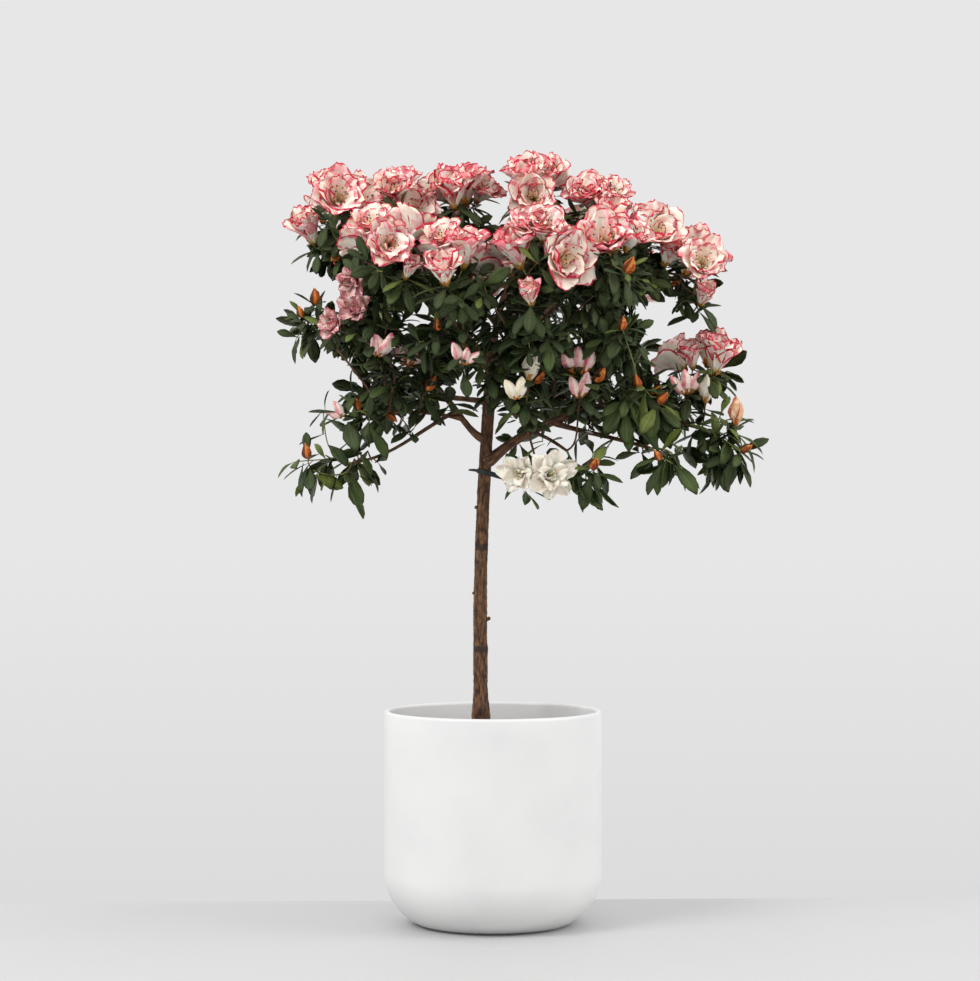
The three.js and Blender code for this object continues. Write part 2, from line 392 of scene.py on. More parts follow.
bed_foot = (pot_radius - FOOT_CORNER, FOOT_TOP)
bed_side = arc(bed_foot, bed_radius - bed_foot[0], -50, 0, 10)
bed_top = [(bed_radius * (1 - i / BED_RINGS), bed_high.z) for i in range(BED_RINGS)]
bed_outline = [(0, bed_low.z), (BED_MIDDLE_RING, bed_low.z), *bed_side, *bed_top, (0, bed_high.z)]
compost = turned("compost_bed", bed_outline, BED_SIDES, lumpy_bed)
PEAT_SHADES = [(38, 26, 20), (62, 44, 33), (84, 62, 46)]
peat = mottled("peaty_compost", PEAT_SHADES, 2.5 * MM, (0.85, 1), (0.8 * MM, 1.2 * MM))
compost.data.materials.append(peat)
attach(compost, "root")
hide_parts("compost")
print("compost", in_mm(compost.dimensions), "mm")

# %% [markdown]
# ## Crumbs on the bed
# A nursery's compost holds chips of bark and small clods. They are many, alike and scattered on a
# surface, so Geometry Nodes make them: the tree scatters points on the bed's upward faces with a
# fixed seed and stands a few rough crumbs there. `as_plain_mesh` then takes the result over as a
# plain mesh.

# %% Geometry Nodes helpers
def new_tree(name, **sizes):
    tree = bpy.data.node_groups.new(name, "GeometryNodeTree")
    tree.interface.new_socket("Geometry", in_out="INPUT", socket_type="NodeSocketGeometry")
    tree.interface.new_socket("Geometry", in_out="OUTPUT", socket_type="NodeSocketGeometry")
    for label, value in sizes.items():
        kind = "NodeSocketInt" if isinstance(value, int) else "NodeSocketFloat"
        socket = tree.interface.new_socket(
            label.replace("_", " "), in_out="INPUT", socket_type=kind
        )
        socket.default_value = value
    return tree, add_node(tree, "NodeGroupInput"), add_node(tree, "NodeGroupOutput")


def one_of(tree, templates):
    split = {"Collection": templates, "Separate Children": True, "Reset Children": True}
    return add_node(tree, "GeometryNodeCollectionInfo", split).outputs[0]


def end_tree(tree, shapes, finish, end):
    """Makes copies real and gives them a finish, which is how a tree ends."""
    real = add_node(tree, "GeometryNodeRealizeInstances", {0: shapes}).outputs[0]
    done = add_node(tree, "GeometryNodeSetMaterial", {"Geometry": real, "Material": finish})
    tree.links.new(done.outputs[0], end.inputs[0])
    return tree


def put_tree(target, tree, **sizes):
    modifier = target.modifiers.new(tree.name, "NODES")
    modifier.node_group = tree
    for item in tree.interface.items_tree:
        key = item.name.replace(" ", "_")
        if item.in_out == "INPUT" and key in sizes:
            modifier[item.identifier] = sizes[key]


def as_plain_mesh(source, name):
    """The evaluated object as a plain mesh of its own, at the origin. The source is removed."""
    graph = bpy.context.evaluated_depsgraph_get()
    shown = source.evaluated_get(graph)
    mesh = bpy.data.meshes.new_from_object(shown, preserve_all_data_layers=True, depsgraph=graph)
    made = add_object(name, mesh)
    bpy.data.objects.remove(source)
    return made


def template_collection(name, templates):
    """Keeps templates together, out of the scene, in the order of their names."""
    kept = bpy.data.collections.new(name)
    for template in templates:
        scene.collection.objects.unlink(template)
        kept.objects.link(template)
    return kept


def drop_templates(kept):
    for template in list(kept.objects):
        bpy.data.objects.remove(template)
    bpy.data.collections.remove(kept)


print("scatter helpers ready")

# %% One crumb, and the tree that scatters them
CRUMB_ROUGHNESS = 0.5
CRUMB_FLATNESS = 0.6
FACES_UP = 0.6


def crumb(name, seed):
    made = bpy.data.meshes.new(name)
    builder = bmesh.new()
    bmesh.ops.create_icosphere(builder, subdivisions=1, radius=0.5)
    for corner in builder.verts:
        corner.co *= 1 + CRUMB_ROUGHNESS * noise.noise(corner.co * 2 + Vector((seed, 0, 0)))
        corner.co.z *= CRUMB_FLATNESS
    builder.to_mesh(made)
    builder.free()
    return add_object(name, made)


def crumb_tree(crumbs, finish):
    tree, start, end = new_tree(
        "crumbs", Crumbs_per_square_metre=9000.0, Smallest=1.0, Largest=2.0, Seed=3
    )
    normal = add_node(tree, "GeometryNodeInputNormal").outputs[0]
    up = add_node(tree, "ShaderNodeSeparateXYZ", {"Vector": normal}).outputs["Z"]
    facing = {0: up, 1: FACES_UP}
    top = add_node(tree, "FunctionNodeCompare", facing, operation="GREATER_THAN").outputs[0]
    scatter = {"Mesh": start.outputs["Geometry"], "Selection": top, "Seed": start.outputs["Seed"]}
    scatter["Density"] = start.outputs["Crumbs per square metre"]
    spots = add_node(tree, "GeometryNodeDistributePointsOnFaces", scatter)
    any_way = {0: (-3, -3, -3), 1: (3, 3, 3)}
    spin = add_node(tree, "FunctionNodeRandomValue", any_way, data_type="FLOAT_VECTOR")
    between = {2: start.outputs["Smallest"], 3: start.outputs["Largest"]}
    size = add_node(tree, "FunctionNodeRandomValue", between, data_type="FLOAT")
    stand = {
        "Points": spots.outputs["Points"], "Instance": one_of(tree, crumbs), "Pick Instance": True
    }
    stand |= {"Rotation": spin.outputs[0], "Scale": size.outputs[1]}
    stood = add_node(tree, "GeometryNodeInstanceOnPoints", stand)
    return end_tree(tree, stood.outputs[0], finish, end)


print("crumbs on faces that look up by more than", FACES_UP)

# %% Scatter the crumbs
CRUMB_SHAPES = 5
CHIP_SHADES = [(34, 23, 17), (78, 54, 38), (112, 82, 58)]
bark_chip = mottled("bark_chips", CHIP_SHADES, 6 * MM, (0.8, 1), (0.4 * MM, 0.8 * MM))
crumb_shapes = [crumb(f"crumb_{i}", 3.7 * i) for i in range(CRUMB_SHAPES)]
crumb_shapes = template_collection("crumb_shapes", crumb_shapes)
bed_copy = compost.copy()
bed_copy.data = compost.data.copy()
bed_copy.parent = None
scene.collection.objects.link(bed_copy)
put_tree(bed_copy, crumb_tree(crumb_shapes, bark_chip), Smallest=1.6 * MM, Largest=4.5 * MM)
crumbs = as_plain_mesh(bed_copy, "compost_crumbs")
drop_templates(crumb_shapes)
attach(crumbs, "root")
print("crumbs", len(crumbs.data.polygons), "faces")

# %% [markdown]
# ## Reading the limbs from the frame
# The CAD stem and boughs are plain tapering bars with six to twelve sides. Their relief comes here,
# so each is rebuilt as a finer tube on the same middle line. Slices across the solid give the line
# and its radii. It could be typed in again, but a measured line fits whatever the CAD says. Boughs
# are placed one after another, each after the limb that it leaves.

# %% Middle lines
STEP = 6 * MM
SLICES = 9
STEM_SLICES = 16
FIRST_SLICE, LAST_SLICE, SLICED = 0.07, 0.93, 0.86  # shares of a limb's length


def triangles(name):
    mesh = frame["nodes"][name].data
    mesh.calc_loop_triangles()
    points = np.array([v.co for v in mesh.vertices])
    return points[np.array([t.vertices[:] for t in mesh.loop_triangles])]


def middle_line(name, slices):
    corners = triangles(name)
    centre = corners.reshape(-1, 3).mean(0)
    axis = svd(corners.reshape(-1, 3) - centre, full_matrices=False)[2][0]
    along = (corners - centre) @ axis
    line = []
    for level in along.min() + np.ptp(along) * np.linspace(FIRST_SLICE, LAST_SLICE, slices):
        crossings = []
        for a, b in ((0, 1), (1, 2), (2, 0)):
            near, far = along[:, a] - level, along[:, b] - level
            cut = near * far < 0
            share = (near[cut] / (near[cut] - far[cut]))[:, None]
            crossings.append(corners[cut, a] + share * (corners[cut, b] - corners[cut, a]))
        crossings = np.concatenate(crossings)
        middle = crossings.mean(0)
        line.append([*middle, norm(crossings - middle, axis=1).mean()])
    line = np.array(line)
    ends = [2 * line[0] - line[1], 2 * line[-1] - line[-2]]
    share = FIRST_SLICE * (slices - 1) / SLICED
    first = line[0] + share * (ends[0] - line[0])
    last = line[-1] + share * (ends[1] - line[-1])
    return np.concatenate([[first], line, [last]])


def evenly(line, step):
    spans = norm(np.diff(line[:, :3], axis=0), axis=1)
    at = np.concatenate([[0], np.cumsum(spans)])
    places = np.linspace(0, at[-1], max(2, round(at[-1] / step) + 1))
    made = np.stack([np.interp(places, at, line[:, k]) for k in range(line.shape[1])], -1)
    for _ in range(3):
        made[1:-1] = (made[:-2] + 2 * made[1:-1] + made[2:]) / 4
    return made


print("stem's triangles", len(triangles("stem")))

# %% Set the boughs on the limbs that they leave
stem_line = middle_line("stem", STEM_SLICES)
if stem_line[0, 2] > stem_line[-1, 2]:
    stem_line = stem_line[::-1]
limbs = {"stem": evenly(stem_line, STEP)}
bough_names = [n for n in sorted(frame["nodes"]) if n.endswith("bough") or n == "leader"]
waiting = {name: middle_line(name, SLICES) for name in bough_names}
while waiting:
    placed = np.concatenate([line[:, :3] for line in limbs.values()])
    gaps = {}
    for name, line in waiting.items():
        for way in (1, -1):
            apart = norm(placed - line[::way][0, :3], axis=1)
            gaps[name, way] = (apart.min(), placed[apart.argmin()])
    (name, way), (gap, root) = min(gaps.items(), key=lambda item: item[1][0])
    line = waiting.pop(name)[::way]
    line = np.concatenate([[[*root, line[0, 3]]], line])
    limbs[name] = evenly(line, STEP)
print(len(limbs), "limbs, tip radii", {n: round(float(v[-1, 3]) / MM, 1) for n, v in limbs.items()})

# %% [markdown]
# ## Bark
# Azalea bark is thin, brown and split lengthwise into fine plates. A displaced plain tube would
# take its pattern from the world's axes, so each tube is made with its relief, and carries its own
# coordinates as an attribute called grain, round the limb and along it. The colour reads it too, so
# the fissures run along every bough.

# %% Tubes with relief
def smooth_frames(points):
    """Two directions across a line at each point, carried along it without twisting."""
    tangents = np.gradient(points, axis=0)
    tangents /= norm(tangents, axis=1)[:, None]
    side = np.cross(tangents[0], (0, 1, 0.1))
    sides = []
    for tangent in tangents:
        side = side - tangent * (side @ tangent)
        side /= norm(side)
        sides.append(side)
    sides = np.array(sides)
    return tangents, sides, np.cross(tangents, sides)


def limb_tube(line, sides, step, relief):
    """Points, faces and grain of a closed tube. relief says how far each point stands out."""
    line = evenly(line, step)
    tangents, across, over = smooth_frames(line[:, :3])
    along = np.concatenate([[0], np.cumsum(norm(np.diff(line[:, :3], axis=0), axis=1))])
    points, grain = [], []
    for i, (x, y, z, radius) in enumerate(line):
        for turn in even_turns(sides):
            out = radius + relief(turn, along[i], radius)
            way = across[i] * cos(turn) + over[i] * sin(turn)
            points.append(line[i, :3] + way * out)
            grain.append((radius * cos(turn), radius * sin(turn), along[i]))
    points += [line[0, :3], line[-1, :3] + tangents[-1] * line[-1, 3] * 0.6]
    grain += [(0, 0, 0), (0, 0, along[-1])]
    return points, ring_faces(len(line), sides), grain


def bark_relief(turn, along, radius):
    spot = Vector((cos(turn) * 2.4, sin(turn) * 2.4, along / (9 * MM)))
    plates = abs(noise.noise(spot * 1.6)) + 0.5 * abs(noise.noise(spot * 3.7))
    swell = noise.noise(Vector((along / (26 * MM), 5, radius * 900)))
    return radius * (0.07 - 0.16 * plates + 0.07 * swell)


def joined(parts):
    points, faces, grain = [], [], []
    for more_points, more_faces, more_grain in parts:
        start = len(points)
        points += list(more_points)
        faces += [[i + start for i in face] for face in more_faces]
        grain += list(more_grain)
    return points, faces, grain


def set_mark(mesh, name, kind, values, domain="POINT"):
    values = np.array(values, np.int32 if kind == "INT" else np.float32).ravel()
    made = mesh.attributes.new(name, kind, domain)
    made.data.foreach_set("vector" if kind == "FLOAT_VECTOR" else "value", values)


def limb_mesh(name, parts):
    points, faces, grain = joined(parts)
    made = add_mesh(name, points, faces)
    set_mark(made.data, "grain", "FLOAT_VECTOR", grain)
    return made


print("tube helpers ready")

# %% [markdown]
# ## The colour of bark
# Bark is darkest in its fissures and palest on its plates. The mottled finish gives that once a
# Mapping node draws its pattern out along the limb. The stem has dark bands where whorls of shoots
# stood, and eyes where single buds were rubbed off. An image could paint them, but a distance in
# the grain that a colour fades over needs none.

# %% Bark finish
GRAIN_STRETCH = 0.24
BARK_SHADES = [(31, 19, 10), (73, 46, 26), (103, 70, 43), (132, 98, 67)]


def grain_of(tree):
    return add_node(tree, "ShaderNodeAttribute", attribute_name="grain").outputs["Vector"]


def along_the_grain(tree):
    drawn_out = {"Vector": grain_of(tree), "Scale": (1, 1, GRAIN_STRETCH)}
    return add_node(tree, "ShaderNodeMapping", drawn_out).outputs["Vector"]


def bark_finish(name, relief):
    return mottled(name, BARK_SHADES, 1.8 * MM, (0.7, 0.95), (relief, 0.7 * MM), along_the_grain)


def lay_over(finish, amounts, colour):
    """Lays a colour over a finish, by each of these amounts in turn."""
    tree = finish.node_tree
    shader = tree.nodes["Principled BSDF"]
    under = shader.inputs["Base Color"].links[0].from_socket
    for amount in amounts:
        both = {0: amount, 6: under, 7: paint(*colour)}
        under = add_node(tree, "ShaderNodeMix", both, data_type="RGBA").outputs[2]
    tree.links.new(under, shader.inputs["Base Color"])


def band_at(tree, height, width):
    """How dark a band round the limb is, by the distance from its height along the limb."""
    along = add_node(tree, "ShaderNodeSeparateXYZ", {"Vector": grain_of(tree)}).outputs["Z"]
    away = maths(tree, "ABSOLUTE", maths(tree, "SUBTRACT", along, height))
    return fade(tree, away, width / 2, width, 0.75, 0.0)


def eye_at(tree, place, size):
    """How dark an eye is, by the distance from its place in the limb's own coordinates."""
    ends = {0: grain_of(tree), 1: place}
    away = add_node(tree, "ShaderNodeVectorMath", ends, operation="DISTANCE").outputs["Value"]
    return fade(tree, away, size * 0.35, size, 0.85, 0.0)


bark = bark_finish("azalea_bark", 0.35 * MM)
print(bark.name, "in", len(BARK_SHADES), "shades")

# %% [markdown]
# ## The stem
# A trained stem keeps a mark of every shoot that was cut or rubbed off it. Noise alone would put
# them anywhere, so each has its own place, in millimetres above the table and in radians: a knot's
# side starts at the left and is in front at about 1.6, and a snag's starts at the right.

# %% Stem
STEM_SIDES = 40
STEM_STEP = 1.1 * MM
KNOT_HEIGHT = 4.5 * MM
SUNK_DEPTH = 4 * MM
BAND_WIDTH = 3.4 * MM
EYE_SIZE = 2.6 * MM
KNOTS = [
    (176, 1.6, 1.6), (225, 3.6, 0.9), (295, 1.1, 1.1), (307, 2.0, 0.8), (321, 1.6, 0.8),
    (352, 1.0, 1.4),
]
EYES = [(176, 1.6), (191, 1.1), (203, 2.2), (229, 1.9), (295, 1.1), (321, 1.6), (352, 2.4)]
STUBS = [(242, 0.15, 3.4, 1.5), (263, 3.3, 1.8, 1.1), (332, 2.8, 2.2, 1.3)]
SCAR_BANDS = [225, 307]
stem_base = limbs["stem"][0, 2]


def stem_at(height):
    return np.array([np.interp(height, limbs["stem"][:, 2], limbs["stem"][:, k]) for k in range(4)])


def stem_relief(turn, along, radius):
    out = bark_relief(turn, along, radius)
    for height, side, stand in KNOTS:
        away = (along + stem_base - height * MM) / KNOT_HEIGHT
        out += stand * MM * exp(-away * away) * max(0, cos(turn - side)) ** 3
    return out


def stub(height, side, length, radius):
    """A short snag left where a side shoot was cut: a small tube standing out of the stem."""
    *where, grip = stem_at(height * MM)
    way = np.array((cos(side), -0.3, 0.5))
    way /= norm(way)
    reach = np.linspace(0, grip + length * MM, 6)[:, None]
    line = np.hstack([where + way * reach, np.full((6, 1), radius * MM)])
    return limb_tube(line, 12, 0.7 * MM, bark_relief)


sunk = limbs["stem"][:1].copy()
sunk[0, 2] -= SUNK_DEPTH
stem_parts = [limb_tube(np.concatenate([sunk, limbs["stem"]]), STEM_SIDES, STEM_STEP, stem_relief)]
stem_parts += [stub(*facts) for facts in STUBS]
stem = limb_mesh("stem_with_bark", stem_parts)
stem_bark = bark_finish("stem_bark", 0.4 * MM)
tree = stem_bark.node_tree
bands = [band_at(tree, height * MM - stem_base, BAND_WIDTH) for height in SCAR_BANDS]
lay_over(stem_bark, bands, (30, 20, 17))
eyes = []
for height, side in EYES:
    radius = stem_at(height * MM)[3]
    place = (radius * cos(side), radius * sin(side), height * MM - stem_base)
    eyes.append(eye_at(tree, place, EYE_SIZE))
lay_over(stem_bark, eyes, (34, 20, 14))
stem.data.materials.append(stem_bark)
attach(stem, "root")
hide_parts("stem")
print(
    "stem", len(stem.data.polygons), "faces, middle radius",
    round(float(limbs["stem"][20, 3]) / MM, 1), "mm",
)

# %% [markdown]
# ## Boughs
# A bough swells where it leaves its parent, because both add wood there each year. Each is a tube
# like the stem's, with its radius widened over the first few millimetres to make that collar, which
# saves cutting one tube into another. All are one piece.

# %% Boughs
COLLAR = 5 * MM
COLLAR_SWELL = 0.55
COLLAR_FADE = 1.6
BOUGH_SIDES = 16
BOUGH_STEP = 1.6 * MM


def with_collar(line):
    line = line.copy()
    away = norm(line[:, :3] - line[0, :3], axis=1)
    line[:, 3] *= 1 + COLLAR_SWELL * np.exp(-((away / COLLAR / COLLAR_FADE) ** 2))
    return line


boughs = {name: line for name, line in limbs.items() if name != "stem"}
bough_lines = [with_collar(line) for line in boughs.values()]
bough_tubes = [limb_tube(line, BOUGH_SIDES, BOUGH_STEP, bark_relief) for line in bough_lines]
bough_mesh = limb_mesh("boughs_with_bark", bough_tubes)
bough_mesh.data.materials.append(bark)
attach(bough_mesh, "root")
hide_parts(*boughs)
print("boughs", len(bough_mesh.data.polygons), "faces")

# %% [markdown]
# ## The tie
# A soft dark plant tie holds the stem a little under its lowest bough: one turn round the stem, and
# two ends that stand out. A torus would be too round for a strap, so it is a ring of small flat
# sections with round corners, and two tapering tongues.

# %% Tie
TIE_WIDTH = 4.2 * MM
TIE_THICK = 1.3 * MM
TIE_TILT = -0.24
TIE_SLACK = 0.2 * MM
TIE_SHADES = [(20, 30, 26), (30, 42, 36), (44, 56, 50)]
tie_low, tie_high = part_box("tie")
tie_middle = stem_at((tie_low.z + tie_high.z) / 2)


def blunt(values):
    return np.sign(values) * np.abs(values) ** 0.5


def strap_section(width, thick, corners=12):
    """A flat section with round corners, in the strap's own width and thickness."""
    turns = even_turns(corners)
    return np.stack([blunt(np.cos(turns)) * thick / 2, blunt(np.sin(turns)) * width / 2], -1)


def strap_ring(radius, sides=48):
    section = strap_section(TIE_WIDTH, TIE_THICK)
    points = []
    for turn in even_turns(sides):
        points += [
            ((radius + out) * cos(turn), (radius + out) * sin(turn), up) for out, up in section
        ]
    ring = np.arange(sides * len(section)).reshape(sides, len(section))
    after = np.roll(ring, -1, axis=0)
    faces = np.stack([ring, after, np.roll(after, -1, axis=1), np.roll(ring, -1, axis=1)], -1)
    return points, faces.reshape(-1, 4).tolist(), [(0, 0, 0)] * len(points)


def strap_tongue(start, end, width, steps=8):
    """A loose end of the strap: flat sections from start to end, drawn in at the tip."""
    start, end = Vector(start), Vector(end)
    points = []
    for i in range(steps + 1):
        share = i / steps
        middle = start.lerp(end, share) - Vector((0, 0, 1.2 * MM * share * share))
        narrow = 1 - 0.45 * share ** 3
        for out, up in strap_section(width * narrow, TIE_THICK * (1 - 0.3 * share)):
            points.append((middle.x, middle.y + out, middle.z + up))
    count = len(points) // (steps + 1)
    ring = np.arange(len(points)).reshape(steps + 1, count)
    after = np.roll(ring, -1, axis=1)
    faces = np.stack([ring[:-1], after[:-1], after[1:], ring[1:]], -1).reshape(-1, 4).tolist()
    faces += [ring[0][::-1].tolist(), ring[-1].tolist()]
    if end.x > start.x:
        faces = [face[::-1] for face in faces]
    return points, faces, [(0, 0, 0)] * len(points)


grip = tie_middle[3] + TIE_THICK / 2 + TIE_SLACK
reach_left = tie_middle[0] - tie_low.x
reach_right = tie_high.x - tie_middle[0]
tie_parts = [
    strap_ring(grip),
    strap_tongue((-grip * 0.6, -grip * 0.75, 0), (-reach_left, -grip * 0.4, 0), 2.4 * MM),
    strap_tongue((grip * 0.6, -grip * 0.75, 0), (reach_right, -grip * 0.4, 0), TIE_WIDTH),
]
tie_points, tie_faces, _ = joined(tie_parts)
tie = add_mesh("stem_tie", tie_points, tie_faces)
tie.data.transform(Matrix.Translation(Vector(tie_middle[:3])) @ Matrix.Rotation(-TIE_TILT, 4, "Y"))
tie_finish = mottled("dark_tie", TIE_SHADES, 5 * MM, (0.4, 0.6), (0.08 * MM, 0.6 * MM))
tie.data.materials.append(tie_finish)
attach(tie, "root")
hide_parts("tie")
print("tie", in_mm(tie.dimensions), "mm")

# %% [markdown]
# ## Where the shoots end
# Growers pinch an azalea so that its crown ends in hundreds of short shoots, each with a rosette of
# leaves and, in season, a flower or buds. The CAD masses say where that outside is, and the record
# which of them are in flower. Their triangles are read here once, as a surface that rays can be
# cast at.

# %% The crown's surface
slot_of = {part["node"]: part["material_slot"] for part in frame["record"]["subparts"]}
masses = {
    n: triangles(n) for n in sorted(slot_of) if slot_of[n] in ("leaves", "blossom", "white_blossom")
}


def surface_tree(corner_sets):
    corners = np.concatenate(corner_sets).reshape(-1, 3)
    return BVHTree.FromPolygons(corners.tolist(), np.arange(len(corners)).reshape(-1, 3).tolist())


crown = surface_tree(list(masses.values()))
mass_middle = {
    n: Vector((c.reshape(-1, 3).min(0) + c.reshape(-1, 3).max(0)) / 2) for n, c in masses.items()
}
print(len(masses), "masses,", sum(slot_of[n] == "blossom" for n in masses), "of them in flower")

# %% [markdown]
# ## The flowers, one by one
# From the front every bloom and bud has its own place, as in a florist's sketch. Each is written
# down for the mass that it sits on: its kind, how many degrees it is turned from the front towards
# the right, how many it is up, both from the mass's middle, and its size beside a usual one. An
# open bloom looks up and out, a side one is seen in profile, a face one looks at the viewer, a cup
# is half open and a faded one hangs limp. Pink, cream and brown are groups of buds, closed and
# withered are single long ones, and a leafy tip fills a place that would look bare.

# %% Flowers seen from the front
FRONT_FLOWERS = {
    "top_left_end": [("face", 12, 40, 1.15), ("side", -50, 2, 0.95), ("open", -30, 76, 0.9)],
    "top_left": [("open", -10, 58, 0.95), ("open", 35, 35, 1.0), ("open", 10, 84, 0.9)],
    "top_middle": [("side", -10, 32, 0.95), ("side", 20, 62, 1.05), ("open", 70, 48, 0.9)],
    "top_peak": [
        ("side", -18, 50, 1.05), ("face", -4, 16, 0.95), ("open", -25, 76, 1.0),
        ("open", 35, 64, 0.9),
    ],
    "top_right": [
        ("open", -24, 52, 1.0), ("side", 18, 14, 1.0), ("open", -25, 78, 0.95),
        ("open", 45, 55, 0.9),
    ],
    "top_right_shoulder": [
        ("side", -10, 58, 0.95), ("open", 12, 26, 1.05), ("side", 45, 5, 0.9),
        ("leafy", 10, -50, 1.1),
    ],
    "top_right_end": [
        ("open", 10, 16, 1.05), ("open", 0, 58, 0.95), ("cup", 30, -38, 0.75),
        ("leafy", -40, -58, 1.0), ("leafy", 40, -66, 1.0),
    ],
    "front_left": [
        ("face", 10, 14, 0.98), ("cup", 42, -14, 0.65), ("faded", -56, -34, 0.78),
        ("open", -40, 62, 0.9),
    ],
    "front_middle": [
        ("side", -20, 6, 0.95), ("side", 12, 48, 1.0), ("open", -50, 58, 0.85),
        ("leafy", 6, -42, 1.0), ("leafy", 40, -36, 1.0),
    ],
    "front_right": [
        ("side", -50, 30, 1.05), ("face", 46, 6, 1.15), ("open", 10, 54, 0.95),
        ("open", -30, 64, 0.9), ("cup", -14, -34, 0.8),
    ],
    "front_right_end": [("face", -34, 62, 1.2), ("brown", 14, 2, 1.2), ("open", 60, 60, 0.9)],
    "right_lobe": [
        ("side", 48, 42, 1.1), ("side", -46, 38, 0.75), ("pink", -42, -32, 1.15),
        ("closed", 2, -54, 1.3),
    ],
    "middle_left": [
        ("faded", -38, 34, 0.85), ("faded", -70, 4, 0.75), ("pink", 20, -48, 1.25),
        ("pink", 34, -42, 1.1), ("leafy", 55, 40, 1.0),
    ],
    "middle_left_end": [("brown", -30, 22, 0.9), ("brown", -5, 70, 1.0)],
    "middle_front_left": [("pink", 44, -32, 1.1), ("brown", -30, 40, 0.9), ("leafy", -52, 50, 1.0)],
    "middle_right": [("brown", 20, 20, 0.9)],
    "low_left_inner": [("pink", 15, 48, 1.2), ("brown", 60, -12, 1.0)],
    "low_left": [("pink", -35, 12, 0.9), ("brown", 0, 76, 0.9)],
    "low_left_tip": [("brown", -40, 28, 1.0)],
    "low_front": [("cream", 0, -22, 1.3), ("closed", 32, 16, 1.6), ("brown", 50, 10, 0.9)],
    "low_front_right": [
        ("pink", -18, 32, 1.4), ("pink", 0, 34, 1.2), ("pink", -14, -28, 1.3),
        ("brown", 32, 12, 1.2),
    ],
    "low_right": [("brown", -10, 30, 0.9), ("brown", 40, -5, 1.0)],
    "low_right_tip": [("withered", 20, 40, 1.55), ("brown", 40, -8, 1.0)],
    "low_right_under": [("brown", -20, 10, 0.8)],
    "hanging_front": [("brown", 5, 16, 1.1)],
    "white_flowers": [("white", -40, 6, 0.68), ("white", 48, 0, 0.82)],
}
BLOOM_WIDTH = 50 * MM
BLOOM_DEPTH = 21 * MM
DEPTH_OF = {"side": 26 * MM, "cup": 26 * MM}
MOUTH_INSET = 8 * MM
BUD_INSET = 10 * MM
BLOOMS = ("open", "side", "face", "cup", "faded", "white")
UP = Vector((0, 0, 1))
FRONT = Vector((0, -1, 0))
# How much each kind looks towards the viewer, and how much upwards, beside outwards.
FACING = {"white": 1.6, "face": 1.0, "faded": 0.8, "open": 0.5, "side": 0.45, "cup": 0.3}
UPTURN = {"white": 0, "face": 0, "faded": 0.1, "open": 0.3, "side": 1.8, "cup": 1.8, "leafy": -0.5}
UPTURN |= {"pink": 2.2, "cream": 2.2, "brown": 1.5, "closed": 3, "withered": 4}
tips = []


def surface_point(name, direction):
    middle = mass_middle[name]
    hit = surface_tree([masses[name]]).ray_cast(middle, direction)[0]
    return hit or middle


def add_tip(place, axis, kind, size, mass):
    place, axis = Vector(place), Vector(axis).normalized()
    tips.append({"place": place, "axis": axis, "kind": kind, "size": size, "mass": mass})


def seat(surface, outward, kind, size):
    """The foot of a flower or bud that shows at a point of the surface, and which way it looks."""
    towards = FRONT * FACING.get(kind, 0) if outward.y < 0 else Vector()
    axis = (outward + UP * UPTURN[kind] + towards).normalized()
    if kind in BLOOMS:
        deep = DEPTH_OF.get(kind, BLOOM_DEPTH) - MOUTH_INSET
        return surface - (outward * MOUTH_INSET + axis * deep) * size, axis
    return surface - (outward + axis) * BUD_INSET / 2, axis


for mass, flowers in FRONT_FLOWERS.items():
    for kind, turn, rise, size in flowers:
        turn, rise = radians(turn), radians(rise)
        level = cos(rise)
        outward = Vector((sin(turn) * level, -cos(turn) * level, sin(rise)))
        place, axis = seat(surface_point(mass, outward), outward, kind, size)
        add_tip(place, axis, kind, size, mass)
print(len(tips), "flowers, buds and leafy tips placed one by one")

# %% [markdown]
# ## Tips spread over the outside
# The rest of the crown is even: blooms over its back and top, and leafy tips everywhere between. A
# grid would look planted and pure chance leaves clumps, so darts are thrown at each mass, and one
# is kept if it lands far enough from those before it. A ray outwards finds whether it is on the
# outside of the crown, and a ray inwards how thick the mass is.

# %% Darts
BLOOM_SPACING = 25.5 * MM
LEAF_SPACING = 15.5 * MM
SPACING_OF = {"low_left_tip": 42 * MM, "low_left": 25 * MM, "low_right": 12 * MM}
SPACING_OF |= {"low_right_tip": 15 * MM, "low_right_under": 21 * MM, "hanging_front": 20 * MM}
INNER_SPACING = 24.5 * MM
THROWS = 8
CLEAR_ABOVE = 9 * MM
CLEAR_OF_FACE = 0.05 * MM
USUAL_DEPTH = 20 * MM
SEED = 11
rng = np.random.default_rng(SEED)


def darts(name, spacing):
    """Random points on a mass, the way their faces look, and one between that and outwards."""
    corners = masses[name]
    across = np.cross(corners[:, 1] - corners[:, 0], corners[:, 2] - corners[:, 0])
    area = norm(across, axis=1) / 2
    count = int(area.sum() / spacing**2 * THROWS)
    start, one, other = corners[rng.choice(len(corners), count, p=area / area.sum())].swapaxes(0, 1)
    share = rng.random((count, 2))
    share = np.where(share.sum(1, keepdims=True) > 1, 1 - share, share)
    points = start + share[:, :1] * (one - start) + share[:, 1:] * (other - start)
    outward = points - np.array(mass_middle[name])
    faces = np.cross(one - start, other - start)
    faces /= norm(faces, axis=1)[:, None]
    outward = outward / norm(outward, axis=1)[:, None] + faces
    return points, faces, outward / norm(outward, axis=1)[:, None]


def is_outside(point, face):
    return crown.ray_cast(
        Vector(point + face * CLEAR_OF_FACE), Vector(face), CLEAR_ABOVE
    )[0] is None


def thickness(point, face):
    hit = crown.ray_cast(Vector(point - face * CLEAR_OF_FACE), Vector(-face))
    return hit[3] if hit[0] else USUAL_DEPTH


def far_enough(place, others, spacing):
    return not len(others) or norm(np.array(others) - place, axis=1).min() > spacing


print("darts ready, seed", SEED)

